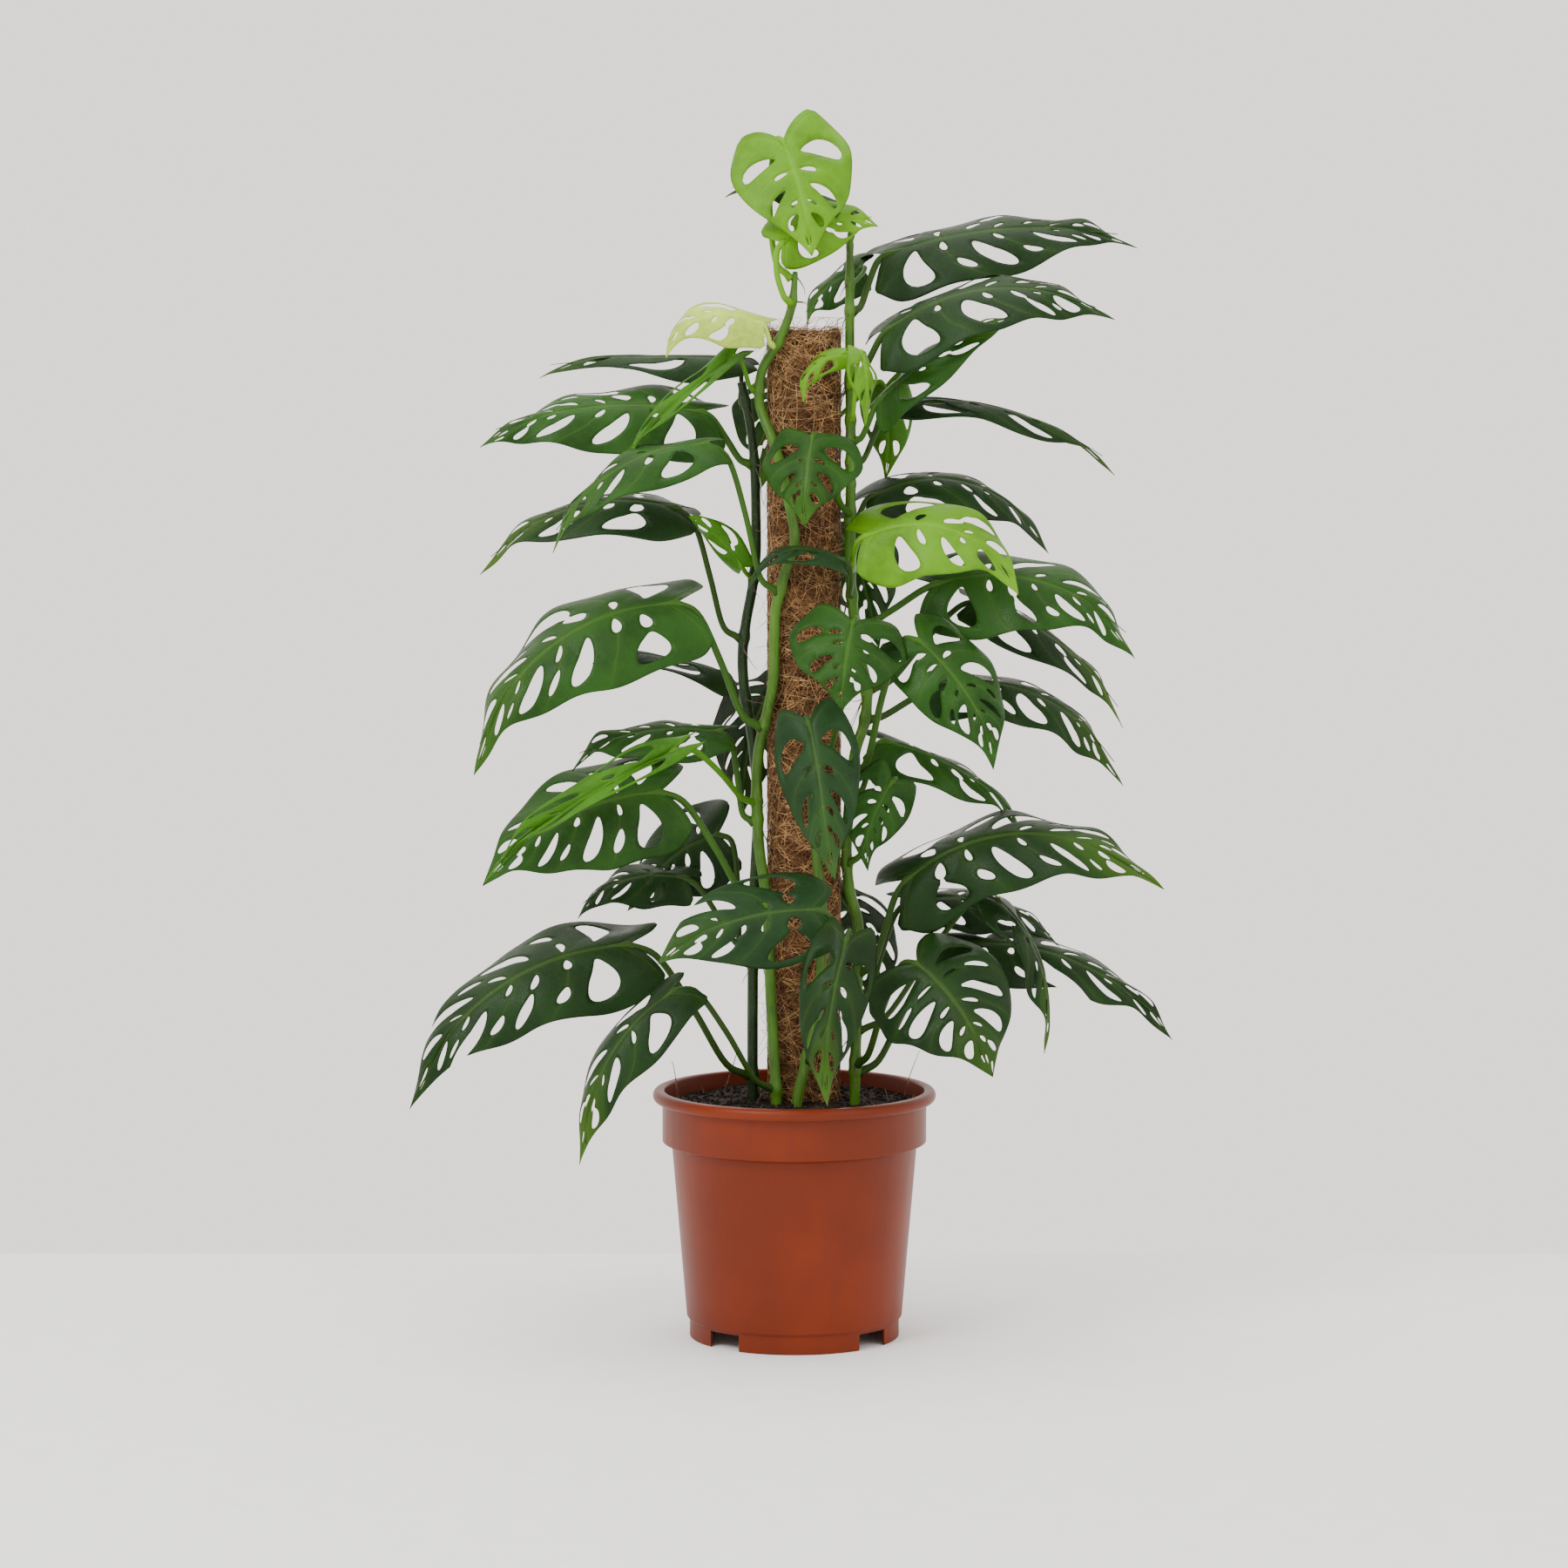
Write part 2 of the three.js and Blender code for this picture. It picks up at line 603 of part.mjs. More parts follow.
leaf('left_11', 'dark', medium, left, 130, [-58, -3, 60], [-93, 12, -26], 54, [0, -0.6, 0.8], 12);
leaf('left_12', 'dark', medium, left, 118, [-30, 25, 106], [-76, 20, -64], 86, [-0.25, -0.85, 0.5], 10);
leaf('left_13', 'dark', large, left, 22, [-104, -42, 116], [-186, -34, -124], 100, [-0.3, -0.7, 0.65], 32,
  { torn: [3, -3] });
leaf('left_14', 'dark', medium, front, 16, [-84, -58, 90], [-76, -34, -134], 62, [-0.6, -0.75, 0.4], 22);
leaf('left_15', 'green', medium, front, 256, [-67, -69, 49], [-159, -38, -99], 32, [-0.3, -0.7, 0.6], 8,
  { fold: -0.5 });

// Front
leaf('front_1', 'green', medium, right, 500, [-32, -60, 64], [-8, -30, -66], 84, [-0.2, -1, 0.35], 6,
  { lobe: 0.2 });
leaf('front_2', 'dark', small, right, 430, [-8, -45, 32], [-82, -16, -18], 34, [0, -0.4, 1], 18);
leaf('front_3', 'green', medium, centre, 290, [28, -62, 122], [-10, -26, -63], 100, [0, -1, 0.25], 4,
  { lobe: 0.3 });
leaf('front_4', 'dark', medium, centre, 225, [-6, -52, 104], [16, -32, -122], 70, [-0.1, -1, 0.2], 6,
  { lobe: 0.18 });
leaf('front_5', 'dark', medium, centre, 84, [0, -58, 90], [-132, -40, -32], 84, [0, -0.9, 0.45], 10,
  { torn: [2] });
leaf('front_6', 'dark', medium, centre, 42, [32, -92, 112], [-22, -36, -126], 60, [0, -1, 0.35], 6);

// Back
leaf('back_1', 'green', medium, back, 540, [-10, 44, 66], [-18, 66, -84], 84, [0, 0.6, 0.8], 18);
leaf('back_2', 'green', large, back, 410, [14, 46, 84], [44, 64, -112], 96, [0.2, 0.8, 0.7], 20);
leaf('back_3', 'dark', large, back, 270, [-14, 48, 84], [-36, 62, -118], 96, [-0.2, 0.8, 0.7], 20);
leaf('back_4', 'dark', medium, back, 110, [18, 44, 66], [46, 62, -112], 86, [0.2, 0.8, 0.6], 14);

// Aerial roots
function aerialRoot(name, stations) {
  const curve = new THREE.CatmullRomCurve3(stations.map(besidePole));
  const geometry = tube(curve, aerialRootDiameter / 2, aerialRootSides, aerialRootStep);
  place(name, geometry, finish.root, plant);
}

aerialRoot('aerial_root', [
  [330, 172, 25], [324, 168, 30], [314, 165, 36], [300, 164, 34], [286, 163, 37], [268, 164, 28],
]);

export default model;
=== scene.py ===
"""Looks of a climbing monstera with perforated leaves, on a coir pole in a nursery pot."""

import json
import math
import random

import bmesh
import bpy
from bpy.props import FloatProperty, FloatVectorProperty, IntProperty, PointerProperty
from mathutils import Matrix, Vector, kdtree, noise


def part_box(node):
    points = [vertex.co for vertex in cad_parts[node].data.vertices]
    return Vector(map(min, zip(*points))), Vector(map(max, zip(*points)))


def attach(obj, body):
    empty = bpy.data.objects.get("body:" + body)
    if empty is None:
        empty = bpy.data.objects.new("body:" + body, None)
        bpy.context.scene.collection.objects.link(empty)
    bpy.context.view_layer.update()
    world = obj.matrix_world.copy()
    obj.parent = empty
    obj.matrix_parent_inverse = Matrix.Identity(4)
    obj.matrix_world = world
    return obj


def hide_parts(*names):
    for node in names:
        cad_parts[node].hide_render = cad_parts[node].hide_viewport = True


bl_info = {
    "name": "Potted Monstera",
    "version": (1, 0, 0),
    "blender": (4, 5, 0),
    "location": "3D View > Sidebar > Monstera",
    "description": "Builds the leaves, stems, coir pole, soil and pot of a climbing monstera",
    "category": "Object",
}

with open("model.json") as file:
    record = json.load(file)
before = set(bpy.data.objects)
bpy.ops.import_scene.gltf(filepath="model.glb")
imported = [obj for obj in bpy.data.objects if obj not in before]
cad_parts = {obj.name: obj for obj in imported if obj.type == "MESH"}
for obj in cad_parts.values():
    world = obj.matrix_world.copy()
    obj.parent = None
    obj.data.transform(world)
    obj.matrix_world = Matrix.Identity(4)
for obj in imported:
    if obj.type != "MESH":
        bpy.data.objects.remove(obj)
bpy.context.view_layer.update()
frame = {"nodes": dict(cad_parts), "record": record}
BODY = "root"
# Noise vectors start from the clock unless this seed is set first.
SEED = 11
UP = Vector((0, 0, 1))

# Rows of a blade take turns as bars and openings, in these shares.
BAR = 0.8
OPENING = 1.2
PERIOD = BAR + OPENING

# How the CAD leaves are built: a stalk of six-sided rings, and twelve corners in each row.
BLADE_THICKNESS = 0.0008
ROW_CORNERS = 12
STALK_CORNERS = 24
WELD = 0.00001

# Leaves whose tone isn't the usual one of their material slot.
TONES = {
    "crown_1": "lime", "crown_2": "dark", "crown_3": "lime", "crown_4": "green",
    "crown_5": "pale", "crown_6": "lime", "crown_7": "lime", "left_3": "fresh",
    "left_8": "fresh", "left_15": "fresh", "right_5": "fresh", "right_7": "lime",
    # front_4, front_5 and front_2 take the blue green tone, which is painted shade.
    "front_4": "blue", "front_5": "blue", "front_2": "blue", "front_3": "green",
}


# ---------------------------------------------------------------- sizes and colours
def length(name, description, default):
    """A setting in metres."""
    return FloatProperty(name=name, description=description, default=default, unit="LENGTH")


def colour(name, description, default):
    """A linear colour setting."""
    return FloatVectorProperty(
        name=name, description=description, default=default, subtype="COLOR", min=0, max=1
    )


def group(name, kind):
    """A setting that holds another group of settings."""
    return PointerProperty(name=name, description=kind.__doc__, type=kind)


class PotSettings(bpy.types.PropertyGroup):
    """Sizes and colour of the pot"""

    lip_height: length("Lip height", "Height of the rolled lip", 0.010)
    lip_overhang: length("Lip overhang", "How far the lip stands out from the collar", 0.008)
    collar_height: length("Collar height", "Height of the plain band under the lip", 0.034)
    shoulder_step: length("Shoulder step", "How far the collar stands out from the body", 0.008)
    shoulder_rise: length("Shoulder rise", "Height of the slope under the collar", 0.003)
    foot_height: length("Foot height", "Height of the foot ring", 0.015)
    foot_step: length("Foot step", "How far the body stands out from the foot ring", 0.0025)
    wall: length("Wall", "Thickness of the wall", 0.002)
    notch_width: length("Notch width", "Width of a drain notch in the foot ring", 0.032)
    notches: IntProperty(name="Notches", description="Drain notches in the foot ring", default=4)
    drain_holes: IntProperty(name="Drain holes", description="Holes in the floor", default=8)
    drain_ring: length("Drain ring", "Diameter of the ring of drain holes", 0.116)
    drain_width: length("Drain hole", "Diameter of a drain hole", 0.010)
    plastic: colour("Plastic", "Colour of the pot", (0.138, 0.0172, 0.0024))
    scuff: colour("Scuff", "Colour of faint scuffs and dust", (0.1, 0.016, 0.006))


class SoilSettings(bpy.types.PropertyGroup):
    """Roughness and colours of the potting soil"""

    lumps: length("Lumps", "How far the surface rises and falls", 0.0035)
    crumb: length("Crumb", "Size of a large crumb", 0.0042)
    crumbs: IntProperty(name="Crumbs", description="Number of loose crumbs", default=1300)
    twigs: IntProperty(name="Twigs", description="Number of small twigs", default=110)
    dark: colour("Dark", "Colour of moist peat", (0.009, 0.006, 0.004))
    light: colour("Light", "Colour of dry bits", (0.055, 0.03, 0.016))


class PoleSettings(bpy.types.PropertyGroup):
    """Fibres of the coir pole"""

    fibres: IntProperty(name="Fibres", description="Fibres of each shade", default=2500)
    wisps: IntProperty(name="Wisps", description="Loose fibres of each shade", default=130)
    thickness: length("Thickness", "Thickness of a fibre", 0.00026)
    dark: colour("Dark", "Dark fibres", (0.1, 0.043, 0.016))
    middle: colour("Middle", "Most fibres", (0.24, 0.115, 0.042))
    light: colour("Light", "Dry fibres", (0.46, 0.28, 0.12))
    wood: colour("Wood", "The pole's core", (0.62, 0.5, 0.33))


class StemSettings(bpy.types.PropertyGroup):
    """Stems, leaf stalks and roots"""

    node_swelling: FloatProperty(
        name="Node swelling", description="How much thicker a stem is at a node", default=0.28
    )
    light: colour("Light stem", "Colour of young stems", (0.044, 0.12, 0.007))
    dark: colour("Dark stem", "Colour of old stems", (0.01, 0.032, 0.007))
    root: colour("Root", "Colour of aerial roots", (0.05, 0.028, 0.015))


class LeafSettings(bpy.types.PropertyGroup):
    """Shape and colours of the leaves"""

    cell: length("Cell", "Size of a face of the blade", 0.0022)
    thickness: length("Thickness", "Thickness of the blade", 0.00055)
    quilt: length("Quilting", "How far the blade bulges between its side veins", 0.0013)
    groove: length("Groove", "Depth of the groove over the midrib", 0.0009)
    wave: length("Wave", "How far the margin waves", 0.003)
    hook: length("Hook", "How far a tip droops and turns", 0.009)
    lean: FloatProperty(name="Lean", description="Lean of the side veins, in rows", default=1.8)
    narrowing: FloatProperty(name="Narrowing", description="How drawn out a tip is", default=0.12)
    dark: colour("Dark", "Old leaves", (0.0045, 0.0215, 0.002))
    green: colour("Green", "Full-grown leaves", (0.011, 0.048, 0.003))
    # Painted shade: the blue green tone is a darker, bluer copy of the leaf colour, given to leaves
    # that sit in shade.
    blue: colour("Blue green", "Shaded leaves", (0.0085, 0.0325, 0.0072))
    fresh: colour("Fresh", "Half-grown leaves", (0.032, 0.115, 0.003))
    lime: colour("Lime", "Young leaves", (0.075, 0.2, 0.0035))
    pale: colour("Pale", "The youngest leaf", (0.33, 0.47, 0.055))


class StageSettings(bpy.types.PropertyGroup):
    """Floor, backdrop and light"""

    floor: colour("Floor", "Colour of the floor", (0.84, 0.84, 0.85))
    backdrop: colour("Backdrop", "Colour behind the plant", (0.82, 0.78, 0.735))
    floor_back: length("Floor behind", "How far the floor runs on behind the pot", 0.37)
    eye: length("Eye height", "Height of the camera", 0.86)
    distance: length("Distance", "How far the camera stands from the pole", 4.2)
    tilt: FloatProperty(
        name="Tilt", description="How far down the camera looks", default=math.radians(5.3),
        unit="ROTATION",
    )


class PlantSettings(bpy.types.PropertyGroup):
    """All settings of the plant"""

    pot: group("Pot", PotSettings)
    soil: group("Soil", SoilSettings)
    pole: group("Pole", PoleSettings)
    stems: group("Stems", StemSettings)
    leaves: group("Leaves", LeafSettings)
    stage: group("Stage", StageSettings)


# ---------------------------------------------------------------- shader maths
class Value:
    """A socket that takes Python arithmetic, each step of which adds a Math node."""

    def __init__(self, paint, socket):
        self.paint = paint
        self.socket = socket

    def maths(self, operation, *others, first=None):
        """This value, or the one given first, and others through one Math node."""
        operands = [self if first is None else first, *others]
        settings = {"operation": operation}
        return self.paint.node("ShaderNodeMath", settings, dict(enumerate(operands)))

    def __add__(self, other):
        return self.maths("ADD", other)

    def __sub__(self, other):
        return self.maths("SUBTRACT", other)

    def __rsub__(self, other):
        return self.maths("SUBTRACT", self, first=other)

    def __mul__(self, other):
        return self.maths("MULTIPLY", other)

    def __truediv__(self, other):
        return self.maths("DIVIDE", other)

    __radd__ = __add__
    __rmul__ = __mul__

    def __abs__(self):
        return self.maths("ABSOLUTE")

    def fraction(self):
        return self.maths("FRACT")

    def ramp(self, low, high, start=0.0, end=1.0):
        """start below low, end above high, and a smooth way between."""
        sockets = {"Value": self, "From Min": low, "From Max": high, "To Min": start, "To Max": end}
        return self.paint.node("ShaderNodeMapRange", {"interpolation_type": "SMOOTHSTEP"}, sockets)


def socket_name(key):
    """A shader socket's name from a keyword, such as base_color."""
    return key.replace("_", " ").title().replace("Ior", "IOR")


class Paint:
    """A material under construction."""

    def __init__(self, name, **constants):
        self.material = bpy.data.materials.new(name)
        self.material.use_nodes = True
        self.tree = self.material.node_tree
        self.shader = self.tree.nodes["Principled BSDF"]
        for socket, value in constants.items():
            self.feed(self.shader.inputs[socket_name(socket)], value)

    def node(self, kind, settings=None, sockets=None, output=0):
        """Adds a node, its settings first, then the values or links of its sockets."""
        made = self.tree.nodes.new(kind)
        for key, value in (settings or {}).items():
            setattr(made, key, value)
        for key, value in (sockets or {}).items():
            self.feed(made.inputs[key], value)
        return Value(self, made.outputs[output])

    def feed(self, socket, value):
        if isinstance(value, Value):
            self.tree.links.new(value.socket, socket)
        else:
            socket.default_value = value

    def place(self):
        return self.node("ShaderNodeTexCoord", output="Object")

    def noise(self, where, scale, detail=3.0, roughness=0.5):
        sockets = {"Vector": where, "Scale": scale, "Detail": detail, "Roughness": roughness}
        return self.node("ShaderNodeTexNoise", None, sockets)

    def cells(self, where, scale):
        return self.node(
            "ShaderNodeTexVoronoi", {"feature": "DISTANCE_TO_EDGE"},
            {"Vector": where, "Scale": scale},
        )

    def stretched(self, where, scale):
        return self.node("ShaderNodeMapping", None, {"Vector": where, "Scale": scale})

    def mix(self, share, one, other):
        """A colour between two others, either of them a tint or a Value."""
        one, other = (
            (*side, 1) if not isinstance(side, Value) and len(side) == 3 else side
            for side in (one, other)
        )
        sockets = {0: share, 6: one, 7: other}
        return self.node("ShaderNodeMix", {"data_type": "RGBA"}, sockets, output=2)

    def bump(self, height, strength, distance):
        return self.node(
            "ShaderNodeBump", None,
            {"Height": height, "Strength": strength, "Distance": distance},
        )

    def finish(self, **sockets):
        """Feeds the shader and gives the material."""
        for socket, value in sockets.items():
            self.feed(self.shader.inputs[socket_name(socket)], value)
        return self.material


def shade(tint, factor):
    """The same tint, lighter or darker."""
    return tuple(min(1.0, part * factor) for part in tint)


def blended(one, other, share):
    """A tint between two others."""
    return tuple(a + (b - a) * share for a, b in zip(one, other))


# ---------------------------------------------------------------- materials
RIB_TINT = (0.2, 0.34, 0.05)
UNDERSIDE_TINT = (0.16, 0.24, 0.07)
UNDERSIDE_RIB_TINT = (0.24, 0.36, 0.08)
FRESH_TIP_TINT = (0.1, 0.22, 0.01)
STREAK_TINT = (0.2, 0.26, 0.08)
BARK_TINT = (0.12, 0.07, 0.03)
DIRT_TINT = (0.07, 0.03, 0.02)
TWIG_TINT = (0.1, 0.055, 0.03)


def leaf_finish(name, tint, underside):
    """Waxy blade: pale midrib and side veins, mottled between them, paler below."""
    paint = Paint(name, specular_ior_level=0.13)
    rib = blended(shade(tint, 1.5), RIB_TINT, 0.14)
    blade = paint.node("ShaderNodeAttribute", {"attribute_name": "blade"}, output="Vector")
    across, along, fresh = (
        paint.node("ShaderNodeSeparateXYZ", None, {0: blade}, output=axis) for axis in range(3)
    )
    where = paint.place()
    wander = paint.noise(where, 60.0, 2.0)
    outwards = abs(across)
    beside = abs(((along + wander * 0.16 - BAR / 2 - 0.08) / PERIOD + 0.5).fraction() - 0.5)
    side_vein = beside.ramp(0.0, 0.045, 1.0, 0.0) * outwards.ramp(0.75, 1.0, 1.0, 0.25)
    side_glow = beside.ramp(0.0, 0.2, 1.0, 0.0)
    midrib = outwards.ramp(0.012, 0.05, 1.0, 0.0)
    rib_glow = outwards.ramp(0.03, 0.3, 1.0, 0.0)
    mottle = paint.noise(where, 140.0, 4.0, 0.6)
    cloud = paint.noise(where, 22.0, 2.0)
    mesh = paint.cells(where, 420.0)
    if underside:
        pale = blended(shade(tint, 1.6), UNDERSIDE_TINT, 0.2)
        body = paint.mix(mottle, shade(tint, 1.05), pale)
        veins = (midrib * 0.5 + side_vein * 0.45).ramp(0.0, 1.0)
        veined = paint.mix(veins, body, blended(rib, UNDERSIDE_RIB_TINT, 0.3))
        height = side_vein * 0.8 + mesh.ramp(0.0, 0.12, 0.35, 0.0) + mottle * 0.2
        gloss = mottle.ramp(0.2, 0.8, 0.5, 0.64)
        return paint.finish(
            base_color=veined, roughness=gloss, normal=paint.bump(height, 0.5, 0.0006)
        )
    deep = paint.mix(cloud.ramp(0.3, 0.7), shade(tint, 0.72), shade(tint, 1.22))
    mottled = paint.mix(mottle.ramp(0.35, 0.75) * 0.35, deep, shade(tint, 1.5))
    glowing = paint.mix(side_glow * 0.12 + rib_glow * 0.14, mottled, rib)
    tipped = paint.mix(fresh, glowing, blended(shade(tint, 2.4), FRESH_TIP_TINT, 0.6))
    veined = paint.mix(side_vein * 0.18 + midrib * 0.6, tipped, rib)
    height = mesh.ramp(0.0, 0.1, 0.0, 0.3) + mottle * 0.35 - side_vein * 0.9
    gloss = mottle.ramp(0.2, 0.8, 0.32, 0.46) + side_vein * 0.06
    return paint.finish(base_color=veined, roughness=gloss, normal=paint.bump(height, 0.45, 0.0006))


def stem_finish(name, tint):
    """Smooth stem with long pale streaks and small brown specks."""
    paint = Paint(name, specular_ior_level=0.25)
    where = paint.place()
    streak = paint.noise(paint.stretched(where, (1.0, 1.0, 0.06)), 700.0, 3.0)
    cloud = paint.noise(where, 26.0, 2.0)
    speck = paint.noise(where, 520.0, 1.0)
    body = paint.mix(cloud.ramp(0.3, 0.7), shade(tint, 0.62), shade(tint, 1.25))
    pale = blended(shade(tint, 1.6), STREAK_TINT, 0.25)
    streaked = paint.mix(streak.ramp(0.5, 0.75) * 0.45, body, pale)
    specked = paint.mix(speck.ramp(0.66, 0.74) * 0.6, streaked, BARK_TINT)
    height = streak * 0.5 + speck * 0.2
    return paint.finish(
        base_color=specked, roughness=streak.ramp(0.3, 0.8, 0.36, 0.54),
        normal=paint.bump(height, 0.4, 0.0005),
    )


def root_finish(name, tint):
    """Dull, patchy skin of roots and twigs."""
    paint = Paint(name)
    where = paint.place()
    patch = paint.noise(where, 300.0, 3.0)
    body = paint.mix(patch.ramp(0.35, 0.7), shade(tint, 0.5), shade(tint, 2.4))
    return paint.finish(
        base_color=body, roughness=patch.ramp(0.2, 0.8, 0.6, 0.85),
        normal=paint.bump(patch, 0.6, 0.0005),
    )


def fibre_finish(name, tint):
    """Dry plant fibre, lighter and darker along its length."""
    paint = Paint(name, specular_ior_level=0.3)
    where = paint.place()
    patch = paint.noise(where, 90.0, 3.0, 0.6)
    fine = paint.noise(where, 900.0, 2.0)
    body = paint.mix(patch.ramp(0.3, 0.7), shade(tint, 0.55), shade(tint, 1.35))
    return paint.finish(
        base_color=paint.mix(fine.ramp(0.5, 0.8) * 0.5, body, shade(tint, 1.9)),
        roughness=fine.ramp(0.2, 0.8, 0.6, 0.9),
        normal=paint.bump(fine, 0.5, 0.0003),
    )


def mat_finish(name, dark, light):
    """The matted coir under the loose fibres, with painted shade in the gaps of its weave and in
    its hollows.
    """
    paint = Paint(name, specular_ior_level=0.15)
    where = paint.place()
    lanes = [
        paint.noise(paint.stretched(where, scale), 1100.0, 2.0, 0.7)
        for scale in ((1.0, 1.0, 0.12), (0.12, 0.12, 1.0), (0.5, 0.2, 0.35))
    ]
    weave = (lanes[0] + lanes[1] + lanes[2]) / 3.0
    # Painted shade: patches of the mat darkened almost to black, where hollows would lie in shade.
    hollow_shade = paint.noise(where, 60.0, 3.0)
    # Painted shade in the gaps of the weave: a much darker copy of the dark fibre colour.
    body = paint.mix(weave.ramp(0.42, 0.62), shade(dark, 0.3), light)
    shaded = paint.mix(hollow_shade.ramp(0.35, 0.65), shade(dark, 0.35), body)
    return paint.finish(
        base_color=shaded, roughness=weave.ramp(0.2, 0.8, 0.75, 0.98),
        normal=paint.bump(weave, 1.0, 0.0025),
    )


def wood_finish(name, tint):
    """Plain wood with its grain upright."""
    paint = Paint(name)
    where = paint.place()
    grain = paint.noise(paint.stretched(where, (1.0, 1.0, 0.05)), 420.0, 4.0)
    body = paint.mix(grain.ramp(0.35, 0.65), shade(tint, 0.6), shade(tint, 1.1))
    return paint.finish(
        base_color=body, roughness=grain.ramp(0.2, 0.8, 0.65, 0.85),
        normal=paint.bump(grain, 0.5, 0.0008),
    )


def soil_finish(name, dark, light):
    """Moist peat with dry patches and pale bits."""
    paint = Paint(name, specular_ior_level=0.25)
    where = paint.place()
    grain = paint.noise(where, 420.0, 5.0, 0.7)
    patch = paint.noise(where, 40.0, 2.0)
    bit = paint.noise(where, 900.0, 1.0)
    body = paint.mix(grain.ramp(0.35, 0.7), shade(dark, 0.5), blended(dark, light, 0.4))
    dry = paint.mix(patch.ramp(0.5, 0.8) * 0.5, body, light)
    return paint.finish(
        base_color=paint.mix(bit.ramp(0.7, 0.76) * 0.8, dry, shade(light, 2.6)),
        roughness=grain.ramp(0.2, 0.8, 0.7, 0.95),
        normal=paint.bump(grain, 0.9, 0.002),
    )


def plastic_finish(name, tint, scuff):
    """Moulded plastic: satin, a little uneven, with scuff streaks, darker and browner towards the
    bottom, and dirt specks.
    """
    paint = Paint(name, specular_ior_level=0.17)
    where = paint.place()
    cloud = paint.noise(where, 9.0, 3.0)
    streak = paint.noise(paint.stretched(where, (1.0, 1.0, 0.15)), 60.0, 3.0)
    peel = paint.noise(where, 900.0, 2.0)
    spot = paint.noise(where, 260.0, 1.0)
    # low is 1 at the floor and fades to 0 at 5 cm: the pot turns darker, browner and rougher
    # towards the bottom.
    low = paint.node("ShaderNodeSeparateXYZ", None, {0: where}, output=2).ramp(0.0, 0.05, 1.0, 0.0)
    body = paint.mix(cloud.ramp(0.35, 0.7), shade(tint, 0.82), shade(tint, 1.1))
    scuffed_and_darker_low = paint.mix(streak.ramp(0.52, 0.8) * 0.35 + low * 0.15, body, scuff)
    return paint.finish(
        base_color=paint.mix(spot.ramp(0.74, 0.78) * 0.5, scuffed_and_darker_low, DIRT_TINT),
        roughness=(cloud * 0.12 + streak * 0.14 + 0.26) + low * 0.12,
        normal=paint.bump(peel + streak * 1.5, 0.12, 0.0006),
    )


def floor_finish(name, tint):
    """Matt, almost even floor."""
    paint = Paint(name)
    weave = paint.noise(paint.place(), 30.0, 4.0)
    return paint.finish(
        base_color=paint.mix(weave.ramp(0.3, 0.7), shade(tint, 0.985), shade(tint, 1.01)),
        roughness=weave.ramp(0.2, 0.8, 0.7, 0.9),
        normal=paint.bump(weave, 0.1, 0.002),
    )


# ---------------------------------------------------------------- meshes
def piece(name, mesh, materials, nodes=()):
    """Links a finished piece, which rides on the plant's one body."""
    made = bpy.data.objects.new(name, mesh)
    bpy.context.scene.collection.objects.link(made)
    mesh.materials.clear()
    for material in materials:
        mesh.materials.append(material)
    mesh.shade_smooth()
    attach(made, BODY)
    if nodes:
        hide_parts(*nodes)
    return made


def mesh_from(bm, name):
    """The finished bmesh as a mesh."""
    mesh = bpy.data.meshes.new(name)
    bm.to_mesh(mesh)
    bm.free()
    return mesh


def applied(mesh, prepare):
    """The mesh with the modifiers that prepare adds to an object that holds it."""
    holder = bpy.data.objects.new("holder", mesh)
    bpy.context.scene.collection.objects.link(holder)
    prepare(holder)
    graph = bpy.context.evaluated_depsgraph_get()
    made = bpy.data.meshes.new_from_object(holder.evaluated_get(graph), depsgraph=graph)
    bpy.data.objects.remove(holder)
    return made


def tubes(paths, detail):
    """Round closed tubes along paths, each a list of (point, radius)."""
    curve = bpy.data.curves.new("tubes", "CURVE")
    curve.dimensions = "3D"
    curve.bevel_depth = 1.0
    curve.bevel_resolution = detail
    curve.use_fill_caps = True
    for path in paths:
        spline = curve.splines.new("POLY")
        spline.points.add(len(path) - 1)
        spline.points.foreach_set("co", [n for point, _ in path for n in (*point, 1.0)])
        spline.points.foreach_set("radius", [radius for _, radius in path])
    holder = bpy.data.objects.new("holder", curve)
    bpy.context.scene.collection.objects.link(holder)
    bpy.context.view_layer.update()
    mesh = bpy.data.meshes.new_from_object(holder)
    bpy.data.objects.remove(holder)
    bm = bmesh.new()
    bm.from_mesh(mesh)
    bmesh.ops.remove_doubles(bm, verts=bm.verts, dist=WELD / 10)
    bmesh.ops.recalc_face_normals(bm, faces=bm.faces)
    return mesh_from(bm, "tubes")


def spun(profile, steps, closed=False):
    """A solid turned from (radius, height) corners about the upright axis."""
    bm = bmesh.new()
    line = [bm.verts.new((x, 0, z)) for x, z in profile]
    edges = [bm.edges.new(pair) for pair in zip(line, line[1:])]
    if closed:
        edges.append(bm.edges.new((line[-1], line[0])))
    bmesh.ops.spin(
        bm, geom=line + edges, cent=(0, 0, 0), axis=(0, 0, 1), dvec=(0, 0, 0),
        angle=2 * math.pi, steps=steps, use_merge=True, use_duplicate=False,
    )
    bmesh.ops.remove_doubles(bm, verts=bm.verts, dist=WELD)
    bmesh.ops.recalc_face_normals(bm, faces=bm.faces)
    return bm


